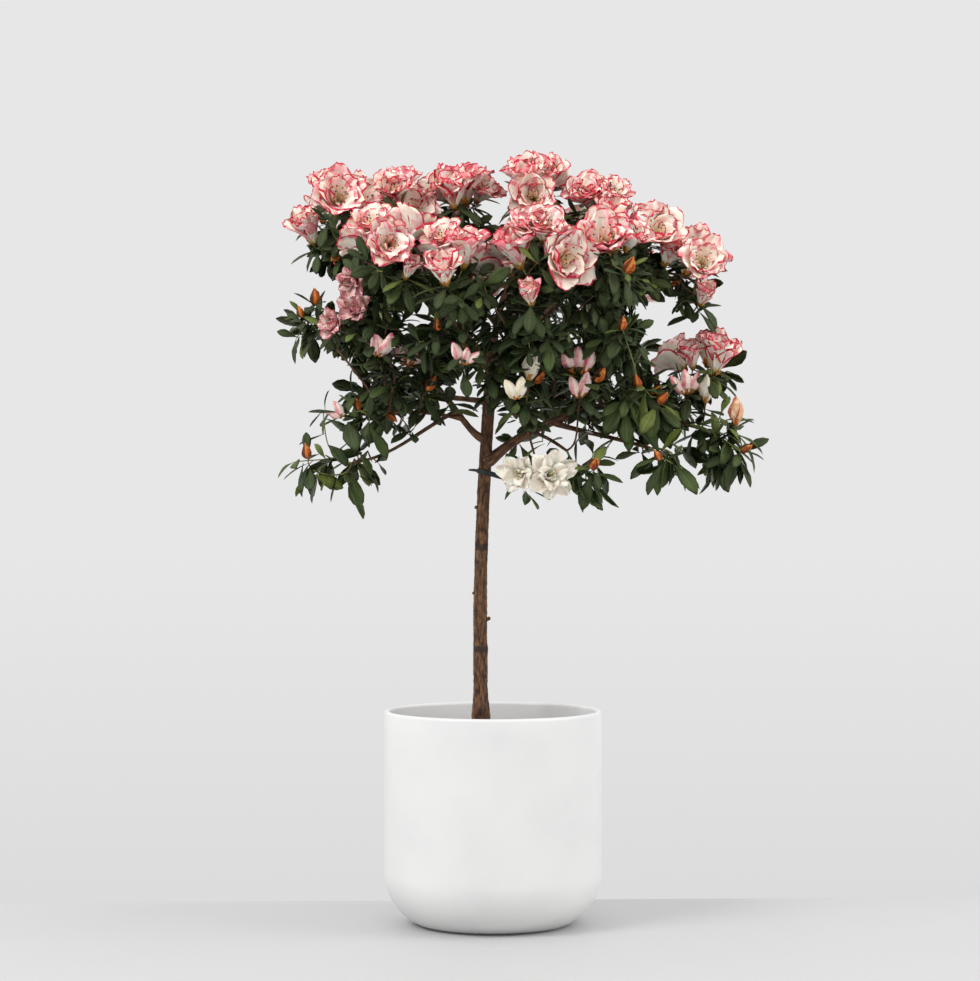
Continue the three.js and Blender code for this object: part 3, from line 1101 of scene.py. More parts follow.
# %% Blooms of the back and the top
BACK_FROM = 15 * MM
RISE_AT_BACK, RISE_AT_FRONT = 0.2, 0.4
HEART = 0.6


def wants_bloom(name, point, outward):
    """Blooms cover the back of the crown, and the top of its front, where no named one sits."""
    if slot_of[name] != "blossom":
        return False
    return outward[2] > (RISE_AT_BACK if point[1] > BACK_FROM else RISE_AT_FRONT)


blooms = [tip for tip in tips if tip["kind"] in BLOOMS]
bloom_hearts = [tip["place"] + tip["axis"] * BLOOM_DEPTH * HEART for tip in blooms]
for name in masses:
    for point, face, outward in zip(*darts(name, BLOOM_SPACING)):
        heart = point - outward * BLOOM_DEPTH * 0.4
        wanted = wants_bloom(name, point, outward) and is_outside(point, face)
        if wanted and far_enough(heart, bloom_hearts, BLOOM_SPACING):
            kind = rng.choice(["open", "cup", "faded", "pink"], p=[0.78, 0.1, 0.05, 0.07])
            size = rng.uniform(0.88, 1.08)
            place, axis = seat(Vector(point), Vector(outward), str(kind), size)
            add_tip(place, axis, str(kind), size, name)
            bloom_hearts.append(heart)
flower_count = len(tips)
print(flower_count, "tips with the blooms and buds of the back and top")

# %% [markdown]
# ## Leafy tips
# Most shoots end in leaves. Those of the outside sit a leaf's reach under the surface, so that the
# leaves end at it. Thick masses get some in their heart, to keep the light from falling through,
# and the boughs a sprout here and there.

# %% Leafy tips of the outside
LEAF_REACH = 17 * MM
CLEAR_AROUND_BLOOM = 21 * MM
BROWN_SHARE = 0.07
places = [np.array(tip["place"]) for tip in tips]
for name in masses:
    if slot_of[name] == "white_blossom":
        continue
    spacing = SPACING_OF.get(name, LEAF_SPACING)
    for point, face, outward in zip(*darts(name, spacing)):
        inset = min(LEAF_REACH * rng.uniform(0.8, 1.25), 0.42 * thickness(point, face))
        place = point - face * inset
        if not is_outside(point, face) or not far_enough(place, places, spacing):
            continue
        if far_enough(place, bloom_hearts, CLEAR_AROUND_BLOOM):
            kind = "brown" if rng.random() < BROWN_SHARE else "leafy"
            wander = rng.normal(0, 0.25, 3) + (0, 0, 0.25)
            add_tip(place, outward + wander, kind, rng.uniform(0.8, 1.0), name)
            places.append(place)
outer_count = len(tips)
print(outer_count - flower_count, "leafy tips outside")

# %% Leafy tips inside, and sprouts along the boughs
DEEP_ENOUGH = 28 * MM
SPROUT_GAP = 40 * MM
SPROUT_REACH = 17 * MM
for name in masses:
    for point, face, outward in zip(*darts(name, INNER_SPACING)):
        deep = thickness(point, face)
        place = point - face * deep * rng.uniform(0.4, 0.55)
        if deep > DEEP_ENOUGH and far_enough(place, places, INNER_SPACING * 0.7):
            add_tip(
                place, outward + 0.6 * np.array((0, 0, 1)), "inner", rng.uniform(0.8, 1.0), name
            )
            places.append(place)
for name, line in limbs.items():
    if name in ("stem", "leader"):
        continue
    since = 0.0
    for before, point in zip(line[:-1], line[1:]):
        since += norm(point[:3] - before[:3])
        way = rng.normal(0, 1, 3) + (0, -0.4, 0.3)
        place = point[:3] + way / norm(way) * SPROUT_REACH
        if since > SPROUT_GAP and far_enough(place, places, INNER_SPACING * 0.6):
            since = 0.0
            add_tip(place, way + (0, 0, 0.6), "sprout", rng.uniform(0.7, 0.95), name)
            places.append(place)
print(len(tips) - outer_count, "leafy tips and sprouts inside")

# %% [markdown]
# ## Growing the twigs
# A shrub fills its space: every shoot grows towards room that is still free, and forks where free
# room lies on two sides. A fixed branching pattern could not, but space colonisation does: each tip
# pulls on the nearest point of wood, every pulled point grows one short step along the mean of its
# pulls, and a tip that is reached stops pulling. Nearest is counted as effort: wood climbs easily
# and seldom drops, and the low boughs don't feed high tips.

# %% What there is to grow from
DROP_COST = 0.9
CLIMB_EASE = 0.35
HIGH_TIP = 492 * MM
CROSSING_COST = 100 * MM
SPROUT_DEPTH = 70 * MM
OUT_OF_REACH = 9
LOW_BOUGHS = (
    "right_bough", "right_low_bough", "right_far_bough", "right_tip_bough", "front_low_bough"
)
LOW_BOUGHS += ("left_bough", "left_mid_bough", "left_tip_bough", "white_bough")
wood = []
parent = []
girth = []
on_low = []
for name, line in limbs.items():
    first = len(wood)
    on_low += [name in LOW_BOUGHS] * len(line)
    for i, point in enumerate(line):
        wood.append(point[:3])
        girth.append(point[3])
        parent.append(first + i - 1 if i else -1)
limb_points = len(wood)
can_sprout = np.ones(limb_points, bool)
can_sprout[: len(limbs["stem"])] = limbs["stem"][:, 2] > limbs["leader"][0, 2] - SPROUT_DEPTH


def effort(ways):
    """How hard it is to grow along each way: its length, less for a climb and more for a drop."""
    rise = ways[..., 2]
    drop, climb = np.maximum(0, -rise), np.maximum(0, rise)
    return norm(ways, axis=-1) + DROP_COST * drop - CLIMB_EASE * climb


targets = np.array([tip["place"] for tip in tips])
starts = np.array(wood)
high = targets[:, 2] > HIGH_TIP
crossing = high[:, None] & np.array(on_low)[None]
apart = effort(targets[:, None] - starts[None]) + CROSSING_COST * crossing
apart[:, ~can_sprout] = OUT_OF_REACH
nearest = apart.argmin(1)
gap = apart.min(1)
print(limb_points, "points of the limbs,", int(can_sprout.sum()), "of them can sprout")

# %% Grow towards the tips
TWIG_STEP = 5 * MM
UPWARD = 0.12
WANDER = 0.12
ROUNDS = 120
tip_wood = np.full(len(tips), -1)
reached = np.zeros(len(tips), bool)


def grow_point(place, source):
    """Adds a point of wood, and lets every tip that is now nearer to it pull on it instead."""
    wood.append(place)
    parent.append(source)
    girth.append(0)
    on_low.append(on_low[source])
    away = effort(targets - place) + CROSSING_COST * (high & on_low[source])
    nearer = (away < gap) & ~reached
    nearest[nearer] = len(wood) - 1
    gap[nearer] = away[nearer]
    return len(wood) - 1


for _ in range(ROUNDS):
    for t in np.flatnonzero(~reached & (gap < 1.5 * TWIG_STEP)):
        reached[t] = True
        tip_wood[t] = grow_point(targets[t], int(nearest[t]))
    if reached.all():
        break
    for source in np.unique(nearest[~reached]):
        pulling = np.flatnonzero(~reached & (nearest == source))
        if not len(pulling):
            continue
        pulls = targets[pulling] - wood[source]
        pulls /= norm(pulls, axis=1)[:, None]
        way = pulls.sum(0) + (0, 0, UPWARD)
        way += rng.normal(0, WANDER, 3)
        place = wood[source] + TWIG_STEP * way / norm(way)
        if not far_enough(place, wood[limb_points:], 0.4 * TWIG_STEP):
            closest = pulling[gap[pulling].argmin()]
            way = targets[closest] - wood[source]
            place = wood[source] + TWIG_STEP * way / norm(way)
        grow_point(place, int(source))
wood = np.array(wood)
print(len(wood) - limb_points, "points of wood for", int(reached.sum()), "of", len(tips), "tips")

# %% [markdown]
# ## How thick each twig is
# Leonardo noticed that a branch is as thick as the branches it splits into put together. Working
# from the tips down, each point's girth is the sum of what it carries, with an exponent a little
# above two. Points are also eased towards their neighbours, against the zigzag of the steps.

# %% Girths
TIP_GIRTH = 0.5 * MM
SHARING = 2.5
TWIG_MOST = 1.7 * MM
children = {}
for i in range(limb_points, len(wood)):
    children.setdefault(parent[i], []).append(i)
for i in range(len(wood) - 1, limb_points - 1, -1):
    carried = sum(girth[c] ** SHARING for c in children.get(i, []))
    girth[i] = min(TWIG_MOST, max(TIP_GIRTH, carried ** (1 / SHARING)))
main_child = {i: max(c, key=lambda k: girth[k]) for i, c in children.items()}
for _ in range(3):
    eased = wood.copy()
    for i in range(limb_points, len(wood)):
        if i in main_child:
            eased[i] = (wood[parent[i]] + 2 * wood[i] + wood[main_child[i]]) / 4
    wood = eased
chains = []
for i in range(limb_points, len(wood)):
    if main_child.get(parent[i]) != i or parent[i] < limb_points:
        chain = [parent[i], i]
        while chain[-1] in main_child:
            chain.append(main_child[chain[-1]])
        chains.append(chain)
print(len(chains), "twigs, thickest", round(max(girth[limb_points:]) / MM, 2), "mm")

# %% [markdown]
# ## Woody twigs and green shoots
# Last year's wood is brown, and this year's shoots are green to yellow-green and soft. Both are
# lines with a girth at each point, so one Geometry Nodes tree makes curves of them and sweeps a
# circle along. A shoot is the last stretch of a twig.

# %% Rods swept along lines
GREEN_GIRTH = 0.62 * MM
LOW_GREEN_GIRTH = 1.0 * MM
LOW_SPRAYS = (
    "low_left_tip", "low_left", "low_right_tip", "low_right_under", "hanging_front", "low_right"
)


def read_mark(tree, name, kind):
    return add_node(
        tree, "GeometryNodeInputNamedAttribute", {"Name": name}, data_type=kind
    ).outputs[0]


def rod_tree(name, finish):
    tree, start, end = new_tree(name, Sides=5, Thicker=1.0)
    curve = add_node(tree, "GeometryNodeMeshToCurve", {"Mesh": start.outputs["Geometry"]})
    wide = maths(tree, "MULTIPLY", read_mark(tree, "girth", "FLOAT"), start.outputs["Thicker"])
    round_one = {"Resolution": start.outputs["Sides"], "Radius": 1.0}
    circle = add_node(tree, "GeometryNodeCurvePrimitiveCircle", round_one)
    swept = {"Curve": curve.outputs[0], "Profile Curve": circle.outputs[0], "Fill Caps": True}
    swept["Scale"] = wide
    rods = add_node(tree, "GeometryNodeCurveToMesh", swept)
    return end_tree(tree, rods.outputs[0], finish, end)


def rods(name, lines, finish, sides):
    """A piece made of rods. Each line is a list of points with a girth: (x, y, z, girth)."""
    points = np.concatenate(lines)
    edges, first = [], 0
    for line in lines:
        edges += [(first + i, first + i + 1) for i in range(len(line) - 1)]
        first += len(line)
    mesh = bpy.data.meshes.new(name + "_lines")
    mesh.from_pydata(points[:, :3].tolist(), edges, [])
    set_mark(mesh, "girth", "FLOAT", points[:, 3])
    source = add_object(name + "_lines", mesh)
    put_tree(source, rod_tree(name, finish), Sides=sides)
    return as_plain_mesh(source, name)


print("rods ready")

# %% Part the twigs into brown wood and green shoots
GREEN_SHARE, LOW_GREEN_SHARE = 0.55, 0.9
FOOT_SWELL = 1.15
TWIG_SHADES = [(58, 38, 28), (88, 58, 42), (112, 80, 56)]
SHOOT_SHADES = [(96, 104, 50), (128, 134, 66), (112, 96, 60)]


def points_of(chain):
    return np.array([[*wood[i], min(girth[i], girth[chain[1]] * FOOT_SWELL)] for i in chain])


mass_at = {int(tip_wood[t]): tip["mass"] for t, tip in enumerate(tips)}
brown_lines, green_lines = [], []
for chain in chains:
    line = points_of(chain)
    low = mass_at.get(chain[-1]) in LOW_SPRAYS
    green = line[:, 3] < (LOW_GREEN_GIRTH if low else GREEN_GIRTH)
    from_tip = 0 if green.all() else len(line) - int(np.argmin(green[::-1])) - 1
    if rng.random() < (LOW_GREEN_SHARE if low else GREEN_SHARE) and len(line) - from_tip > 2:
        green_lines.append(line[from_tip:])
        line = line[: from_tip + 1]
    if len(line) > 1:
        brown_lines.append(line)
twig_bark = mottled("twig_bark", TWIG_SHADES, 5 * MM, (0.7, 0.9), (0.15 * MM, 1 * MM))
shoot_green = mottled("green_shoots", SHOOT_SHADES, 12 * MM, (0.45, 0.65), (0.08 * MM, 1 * MM))
twigs = rods("woody_twigs", brown_lines, twig_bark, 6)
shoots = rods("green_shoots", green_lines, shoot_green, 5)
for piece in (twigs, shoots):
    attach(piece, "root")
print(len(brown_lines), "twigs of", len(twigs.data.polygons), "faces")
print(len(green_lines), "shoots of", len(shoots.data.polygons), "faces")

# %% [markdown]
# ## Thin living blades
# Leaves and petals are both a sheet of points in rows and columns, bent into shape. A Solidify
# modifier would add a rim of faces to thousands of them, so `two_sided` gives the sheet a back that
# meets the face all round its edge. The blade is closed, and its faces point outwards.

# %% Blades
def two_sided(sheet, thick):
    """Points and quads of a closed thin blade. Its face looks along the sheet's across × along."""
    rows, columns = sheet.shape[:2]
    normal = np.cross(np.gradient(sheet, axis=1), np.gradient(sheet, axis=0))
    normal /= norm(normal, axis=2, keepdims=True) + 1e-12
    face = np.arange(rows * columns).reshape(rows, columns)
    back = face.copy()
    back[1:-1, 1:-1] = rows * columns + np.arange(
        (rows - 2) * (columns - 2)
    ).reshape(rows - 2, columns - 2)
    behind = (sheet - normal * thick)[1:-1, 1:-1]
    points = np.concatenate([sheet.reshape(-1, 3), behind.reshape(-1, 3)])
    fronts = np.stack(
        [face[:-1, :-1], face[:-1, 1:], face[1:, 1:], face[1:, :-1]], -1
    ).reshape(-1, 4)
    backs = np.stack(
        [back[:-1, :-1], back[1:, :-1], back[1:, 1:], back[:-1, 1:]], -1
    ).reshape(-1, 4)
    return points, np.concatenate([fronts, backs])


def template(name, points, faces, bands, blade=None):
    """A shape to be repeated. bands says which finish each face takes, blade where a point is."""
    made = add_mesh(name, points, faces)
    set_mark(made.data, "band", "INT", bands, "FACE")
    if blade is not None:
        set_mark(made.data, "blade", "FLOAT_VECTOR", blade)
    return made


print("blades ready")

# %% [markdown]
# ## Planting with Geometry Nodes
# Leaves, blooms and buds are all planted in one way. A bare point marks each place and carries a
# turn, a size, a kind of template and a tint. The tree stands templates on the points, makes them
# real, and gives each face its finish: the template's band and the point's tint together say which.

# %% Planting tree
MARKS = {"turn": "FLOAT_VECTOR", "size": "FLOAT", "kind": "INT", "tint": "INT", "band": "INT"}


def planting_tree(name, templates, finishes, bands):
    tree, start, end = new_tree(name, Across=1.0, Along=1.0, Uneven=0.0, Seed=1)
    read = {label: read_mark(tree, label, kind) for label, kind in MARKS.items()}
    most = maths(tree, "ADD", start.outputs["Uneven"], 1.0)
    least = maths(tree, "SUBTRACT", 1.0, start.outputs["Uneven"])
    between = {2: least, 3: most, "Seed": start.outputs["Seed"]}
    luck = add_node(tree, "FunctionNodeRandomValue", between, data_type="FLOAT").outputs[1]
    size = maths(tree, "MULTIPLY", read["size"], luck)
    wide = {"X": start.outputs["Across"], "Y": start.outputs["Across"], "Z": start.outputs["Along"]}
    shape = add_node(tree, "ShaderNodeCombineXYZ", wide).outputs[0]
    scale = add_node(
        tree, "ShaderNodeVectorMath", {0: shape, "Scale": size}, operation="SCALE"
    ).outputs[0]
    shapes = one_of(tree, templates)
    stand = {"Points": start.outputs["Geometry"], "Instance": shapes, "Pick Instance": True}
    stand |= {"Instance Index": read["kind"], "Rotation": read["turn"], "Scale": scale}
    stood = add_node(tree, "GeometryNodeInstanceOnPoints", stand)
    shown = add_node(tree, "GeometryNodeRealizeInstances", {0: stood.outputs[0]}).outputs[0]
    offset = maths(tree, "MULTIPLY", read["tint"], float(bands))
    coat = maths(tree, "ADD", read["band"], offset)
    for i, finish in enumerate(finishes):
        chosen = {0: coat, 1: float(i), 12: 0.1}
        equal = add_node(tree, "FunctionNodeCompare", chosen, data_type="FLOAT", operation="EQUAL")
        paint_it = {"Geometry": shown, "Selection": equal.outputs[0], "Material": finish}
        shown = add_node(tree, "GeometryNodeSetMaterial", paint_it).outputs[0]
    tree.links.new(shown, end.inputs[0])
    return tree


def planted(name, spots, templates, finishes, bands, **sizes):
    """A piece of templates stood on spots. A spot is (place, turning matrix, size, kind, tint)."""
    mesh = bpy.data.meshes.new(name + "_spots")
    mesh.from_pydata([tuple(spot[0]) for spot in spots], [], [])
    set_mark(mesh, "turn", MARKS["turn"], [spot[1].to_euler()[:] for spot in spots])
    for column, label in enumerate(("size", "kind", "tint"), 2):
        set_mark(mesh, label, MARKS[label], [spot[column] for spot in spots])
    source = add_object(name + "_spots", mesh)
    put_tree(source, planting_tree(name, templates, finishes, bands), **sizes)
    made = as_plain_mesh(source, name)
    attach(made, "root")
    return made


def upright(along, face):
    """The turn that lays a template along one direction, with its face towards another."""
    z = Vector(along).normalized()
    x = Vector(face).cross(z)
    if x.length < 1e-4:
        x = Vector((1, 0.1, 0)).cross(z)
    x.normalize()
    return Matrix((x, z.cross(x), z)).transposed()


print("planting ready, by", ", ".join(MARKS))

# %% [markdown]
# ## Leaves
# An azalea leaf is a leathery ellipse about 30 mm long, widest beyond its middle, with a sunken
# midrib, edges that turn down and a short point. A flat card would have no shape of its own, so
# each template is a blade four quads wide and six long on each side. They differ in how far they
# arch, fold and twist.

# %% Leaf templates
LEAF_ROWS = np.array([0, 0.1, 0.28, 0.48, 0.68, 0.87, 1.0])
LEAF_COLUMNS = np.array([-1, -0.52, 0, 0.52, 1])


def leaf_half_width(along):
    """Half the width of a leaf as a share of its full width, from its stalk to its point."""
    stalk = 0.07 * (1 - 0.6 * along)
    body = np.sin(pi * np.clip((along - 0.05) / 0.965, 0, 1) ** 1.55) ** 0.85
    return np.maximum(stalk, 0.5 * body)


def leaf_template(name, arch, fold, twist, narrow):
    along, across = np.meshgrid(LEAF_ROWS, LEAF_COLUMNS, indexing="ij")
    half = leaf_half_width(along) * narrow
    sheet = np.empty(along.shape + (3,))
    lean = twist * along
    rise = fold * np.abs(across) * half - 0.5 * fold * across**4 * half
    sheet[..., 0] = across * half * np.cos(lean) + rise * np.sin(lean)
    sheet[..., 1] = rise * np.cos(lean) - across * half * np.sin(lean) - arch * along**2
    sheet[..., 2] = along * (1 - 0.04 * arch**2)
    points, faces = two_sided(sheet, 0.035)
    quads = len(faces) // 2
    blade = np.stack([across, along, np.zeros_like(along)], -1).reshape(-1, 3)
    inner = blade.reshape(*along.shape, 3)[1:-1, 1:-1].reshape(-1, 3)
    return template(name, points, faces, [0] * quads + [1] * quads, np.concatenate([blade, inner]))


# Each leaf's arch, fold, twist and width.
LEAF_SHAPES = [(0.15, 0.5, 0.1, 1.0), (0.5, 0.35, -0.2, 0.95), (0.8, 0.6, 0.3, 1.0)]
LEAF_SHAPES += [(-0.15, 0.7, -0.1, 0.9), (1.1, 0.3, 0.1, 1.05)]
leaf_shapes = [leaf_template(f"leaf_{i}", *shape) for i, shape in enumerate(LEAF_SHAPES)]
leaf_shapes = template_collection("leaf_shapes", leaf_shapes)

# %% [markdown]
# ## Leaf finishes
# The upper side is a dark green with a waxy gloss, and its midrib and side veins are a little
# lighter. The underside is pale and dull. Veins follow the leaf itself, which a pattern in the
# world's space could not, so they read its blade attribute. Leaves are dealt one of three tints:
# full-grown, softer mid green, and the yellow-green of the newest.

# %% Leaf finishes
RIB_WIDTH = 0.1
VEINS = 7
VEIN_SLANT = -0.35


def veins(tree):
    """How much of a leaf's midrib and side veins shows, by the leaf's own coordinates."""
    blade = add_node(tree, "ShaderNodeAttribute", attribute_name="blade").outputs["Vector"]
    parts = add_node(tree, "ShaderNodeSeparateXYZ", {"Vector": blade})
    away = maths(tree, "ABSOLUTE", parts.outputs["X"])
    midrib = fade(tree, away, RIB_WIDTH * 0.3, RIB_WIDTH, 0.7, 0.0)
    slant = maths(tree, "MULTIPLY_ADD", away, VEIN_SLANT, parts.outputs["Y"])
    crest = maths(tree, "COSINE", maths(tree, "MULTIPLY", slant, VEINS * tau))
    return maths(tree, "MAXIMUM", midrib, fade(tree, crest, 0.8, 1.0, 0.0, 0.22))


def leaf_finish(name, shades, rib, roughness):
    waxy = {"Specular_IOR_Level": 0.5, "Specular_Tint": SHEEN}
    finish = mottled(name, shades, 14 * MM, roughness, (0.06 * MM, 1.2 * MM), detail=1, **waxy)
    lay_over(finish, [veins(finish.node_tree)], rib)
    return finish


SHEEN = (0.92, 1.0, 0.5, 1.0)
RIB_LIGHTER = 24
# The shades of the upper side, the rib's colour, the roughness, and the underside's lightest shade.
LEAF_TINTS = {
    "dark": ([(10, 18, 4), (18, 29, 9), (29, 43, 18)], (54, 72, 44), (0.22, 0.38), (48, 62, 38)),
    "middle": (
        [(22, 38, 16), (34, 52, 24), (46, 66, 34)], (76, 96, 50), (0.26, 0.42), (66, 82, 44)
    ),
    "young": (
        [(62, 80, 28), (84, 100, 36), (104, 116, 50)], (128, 140, 70), (0.34, 0.5), (104, 118, 58)
    ),
}
leaf_finishes = []
for tint, (shades, rib, roughness, under) in LEAF_TINTS.items():
    leaf_finishes.append(leaf_finish(f"{tint}_leaf", shades, rib, roughness))
    unders = [tuple(int(v * k) for v in under) for k in (0.72, 0.86, 1.0)]
    under_rib = [v + RIB_LIGHTER for v in under]
    leaf_finishes.append(leaf_finish(f"{tint}_leaf_underside", unders, under_rib, (0.6, 0.75)))
print([finish.name for finish in leaf_finishes])

# %% [markdown]
# ## Rosettes
# At the end of an azalea shoot the leaves crowd into a rosette, turned from one to the next by the
# golden angle, the lower ones large and spread flat and the newest small and upright. Every leaf
# gives a little to its own weight, more in the low sprays that hang, and turns its face up to the
# light. Chance alone would pile leaves on leaves.

# %% Place the leaves
LEAF_LENGTH = 31 * MM
LEAF_WIDTH = 12.5 * MM
GOLDEN = radians(137.5)
HIGH_LEAF = 0.86
LOW_LEAF = 1.04
CLEAR_OF_PETALS = 17.5 * MM
THIN_SPRAYS = ("low_left", "low_left_tip")
LEAVES_AT = {"leafy": 8, "inner": 6, "sprout": 4, "brown": 7, "pink": 7, "cream": 6, "closed": 4}
LEAVES_AT |= {"withered": 5, "open": 7, "side": 8, "face": 7, "cup": 7, "faded": 6, "white": 0}
CLEAR_OF_BUDS = 9 * MM
LEAF_HEART = 0.6
TINTS_HIGH, TINTS_LOW = (0.84, 0.14, 0.02), (0.45, 0.45, 0.1)
leaf_spots = []
soft_buds = [tip for tip in tips if tip["kind"] in ("pink", "cream", "closed", "withered")]
bud_room = [tip["place"] + tip["axis"] * CLEAR_OF_BUDS for tip in soft_buds]
blooms = [tip for tip in tips if tip["kind"] in BLOOMS]
petal_room = [
    tip["place"] + tip["axis"] * BLOOM_DEPTH * out for tip in blooms for out in (0.6, 1.5)
]


def add_leaf(place, way, face, size, droop, low, tint=None):
    """Records a leaf at a place, pointing one way and facing another as far as it can."""
    way = (Vector(way).normalized() - UP * droop).normalized()
    face = Vector(face) - way * Vector(face).dot(way)
    size *= LOW_LEAF if low else HIGH_LEAF
    middle = np.array(Vector(place) + way * LEAF_LENGTH * size * LEAF_HEART)
    if not far_enough(middle, petal_room, CLEAR_OF_PETALS):
        return
    if not far_enough(middle, bud_room, CLEAR_OF_BUDS):
        return
    kind = int(rng.integers(len(LEAF_SHAPES)))
    if tint is None:
        tint = int(rng.choice(len(LEAF_TINTS), p=TINTS_LOW if low else TINTS_HIGH))
    leaf_spots.append((place, upright(way, face), size, kind, tint))


def across(axis):
    side = Vector(axis).orthogonal().normalized()
    return side, Vector(axis).cross(side)


print("leaves keep clear of", len(petal_room) // 2, "blooms and", len(bud_room), "soft buds")

# %% Rosettes
YOUNG_SHARE = 0.2
YOUNG = 2
ROSETTE_DEPTH = 8 * MM
for t, tip in enumerate(tips):
    last = int(tip_wood[t])
    grown = Vector(wood[last] - wood[parent[last]]).normalized()
    low = tip["mass"] in LOW_SPRAYS
    blooming = tip["kind"] in BLOOMS
    if not blooming:
        tip["axis"] = (tip["axis"] + grown * (0.7 if low else 0.3)).normalized()
    axis = tip["axis"]
    side, front = across(axis)
    fewer = 3 if tip["mass"] in THIN_SPRAYS else 2 if low else 0
    count = max(0, LEAVES_AT[tip["kind"]] + int(rng.integers(-1, 2)) - fewer)
    turn = rng.uniform(0, tau)
    young = rng.random() < YOUNG_SHARE
    for i in range(count):
        share = i / max(1, count - 1)
        turn += GOLDEN
        tilt = radians((98 - 22 * share) if blooming else (92 - 52 * share)) + rng.normal(0, 0.2)
        way = axis * cos(tilt) + (side * cos(turn) + front * sin(turn)) * sin(tilt)
        foot = tip["place"] - axis * (1 - share) * ROSETTE_DEPTH
        size = (0.95 if blooming else 0.98 - 0.38 * share) * rng.uniform(0.8, 1.12)
        droop = rng.uniform(-0.25, 0.45) + (rng.uniform(-0.15, 0.75) if low else 0)
        tint = YOUNG if young and share > 0.8 else None
        add_leaf(foot, way, axis + UP * 0.8, size, droop, low, tint)
print(len(leaf_spots), "leaves in rosettes")

# %% [markdown]
# ## Single leaves
# Below its rosette a shoot carries leaves one by one. Walking down from its tip, a leaf is tried at
# every gap, again turned on by the golden angle. The walk goes far in the low sprays, which are
# leafy all along, and in the heart of the crown.

# %% Single leaves along the shoots
LEAF_GAP = 9 * MM
BARE_TIP = 12 * MM
HEART_HEIGHT = 455 * MM
HEART_HALF = 100 * MM
SHORT_WALK, LOW_WALK, HEART_WALK = 34 * MM, 60 * MM, 90 * MM
LEAF_CHANCE, LOW_LEAF_CHANCE = 0.4, 0.85


def leafy_length(tip):
    if tip["mass"] in LOW_SPRAYS:
        return SHORT_WALK if tip["mass"] in THIN_SPRAYS else LOW_WALK
    in_heart = tip["place"].z > HEART_HEIGHT and abs(tip["place"].x) < HEART_HALF
    return HEART_WALK if in_heart else SHORT_WALK


for t, tip in enumerate(tips):
    low = tip["mass"] in LOW_SPRAYS
    here = int(tip_wood[t])
    gone = since = 0.0
    turn = rng.uniform(0, tau)
    while here >= limb_points and gone < leafy_length(tip):
        below = parent[here]
        step = Vector(wood[here] - wood[below])
        gone += step.length
        since += step.length
        due = gone > BARE_TIP and since > LEAF_GAP
        if due and rng.random() < (LOW_LEAF_CHANCE if low else LEAF_CHANCE):
            since = 0.0
            turn += GOLDEN
            shoot = step.normalized()
            side, front = across(shoot)
            way = shoot * 0.5 + side * cos(turn) + front * sin(turn)
            droop = rng.uniform(0.1, 0.6) + (0.5 if low else 0)
            add_leaf(Vector(wood[here]), way, shoot + UP, rng.uniform(0.7, 1.0), droop, low)
        here = below
print(len(leaf_spots), "leaves in all")

# %% [markdown]
# ## Planting the leaves
# All the leaves would make one very heavy piece, so they are dealt by height, and the top by front
# and back, into four. Each takes the place of the masses in its layer.

# %% Plant the leaves
UPPER_FLOOR = 492 * MM
MIDDLE_FLOOR = 440 * MM
LEAF_PIECES = ("leaves_upper_front", "leaves_upper_back", "leaves_middle", "leaves_lower")


def layer_of(place):
    if place[2] > UPPER_FLOOR:
        return LEAF_PIECES[0] if place[1] < 0 else LEAF_PIECES[1]
    return LEAF_PIECES[2] if place[2] > MIDDLE_FLOOR else LEAF_PIECES[3]


for label in LEAF_PIECES:
    spots = [spot for spot in leaf_spots if layer_of(spot[0]) == label]
    sizes = {"Across": LEAF_WIDTH, "Along": LEAF_LENGTH, "Uneven": 0.12, "Seed": 5}
    leaves = planted(label, spots, leaf_shapes, leaf_finishes, 2, **sizes)
    covered = [name for name in masses if layer_of(mass_middle[name]) == label]
    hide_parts(*covered)
    print(label, len(spots), "leaves in place of", len(covered), "masses")
drop_templates(leaf_shapes)

# %% [markdown]
# ## A double azalea bloom
# A double azalea has a second whorl of petals inside the first, and a few petal-like stamens, where
# a wild one has a single funnel. Each petal is narrow at its foot, broad past its middle and waved
# along its edge. It could be sculpted, but a petal is a sheet bent along a line that leans out from
# the flower's axis, so a few numbers tell a whorl, and a smaller lean makes a bloom that is half
# open.

# %% Petals
PETAL_ROWS = np.array([0, 0.18, 0.38, 0.6, 0.8, 0.96, 1.0])
PETAL_COLUMNS = np.array([-1, -0.92, -0.62, -0.31, 0, 0.31, 0.62, 0.92, 1])
CREAM, BLUSH, ROSE, CRIMSON, THROAT, GREEN, DARK = range(7)
PETAL_BANDS = 7
PETAL_THICK = 0.4


def around_axis(turn):
    return np.array([[cos(turn), sin(turn), 0], [-sin(turn), cos(turn), 0], [0, 0, 1]])


def petal_half_width(along):
    """Half a petal's width: a narrow foot, widest past the middle, a blunt end."""
    foot = 0.2 + 0.8 * np.sin(np.clip(along / 0.7, 0, 1) * pi / 2) ** 1.4
    end = np.sqrt(np.maximum(1 - (np.clip(along - 0.68, 0, 1) / 0.36) ** 2, 0.2))
    return 0.5 * foot * end


def petal_outline(along, across, length, luck):
    """How much each point is drawn in: round corners, a notch at the end, an uneven edge."""
    round_off = 0.13 * across**2 * along**2
    notch = 0.05 * np.exp(-((across / 0.2) ** 2)) * along**6
    uneven = 0.015 * np.sin(across * 7 + luck.uniform(0, 6)) * along**4
    return length * (round_off + notch + uneven)


def petal_ruffle(along, across, wave, luck):
    """How far each point is lifted off the petal's middle line by the waves of its edge."""
    slow = np.sin(across * luck.uniform(4.5, 7.5) + luck.uniform(0, 6))
    quick = np.sin(across * 9 + luck.uniform(0, 6))
    sway = np.sin(along * 6 + luck.uniform(0, 6)) * across
    at_edge = along**1.6 * (0.3 + 0.7 * np.abs(across))
    return wave * (at_edge * (slow + 0.35 * quick) + along**1.6 * 0.9 * sway)


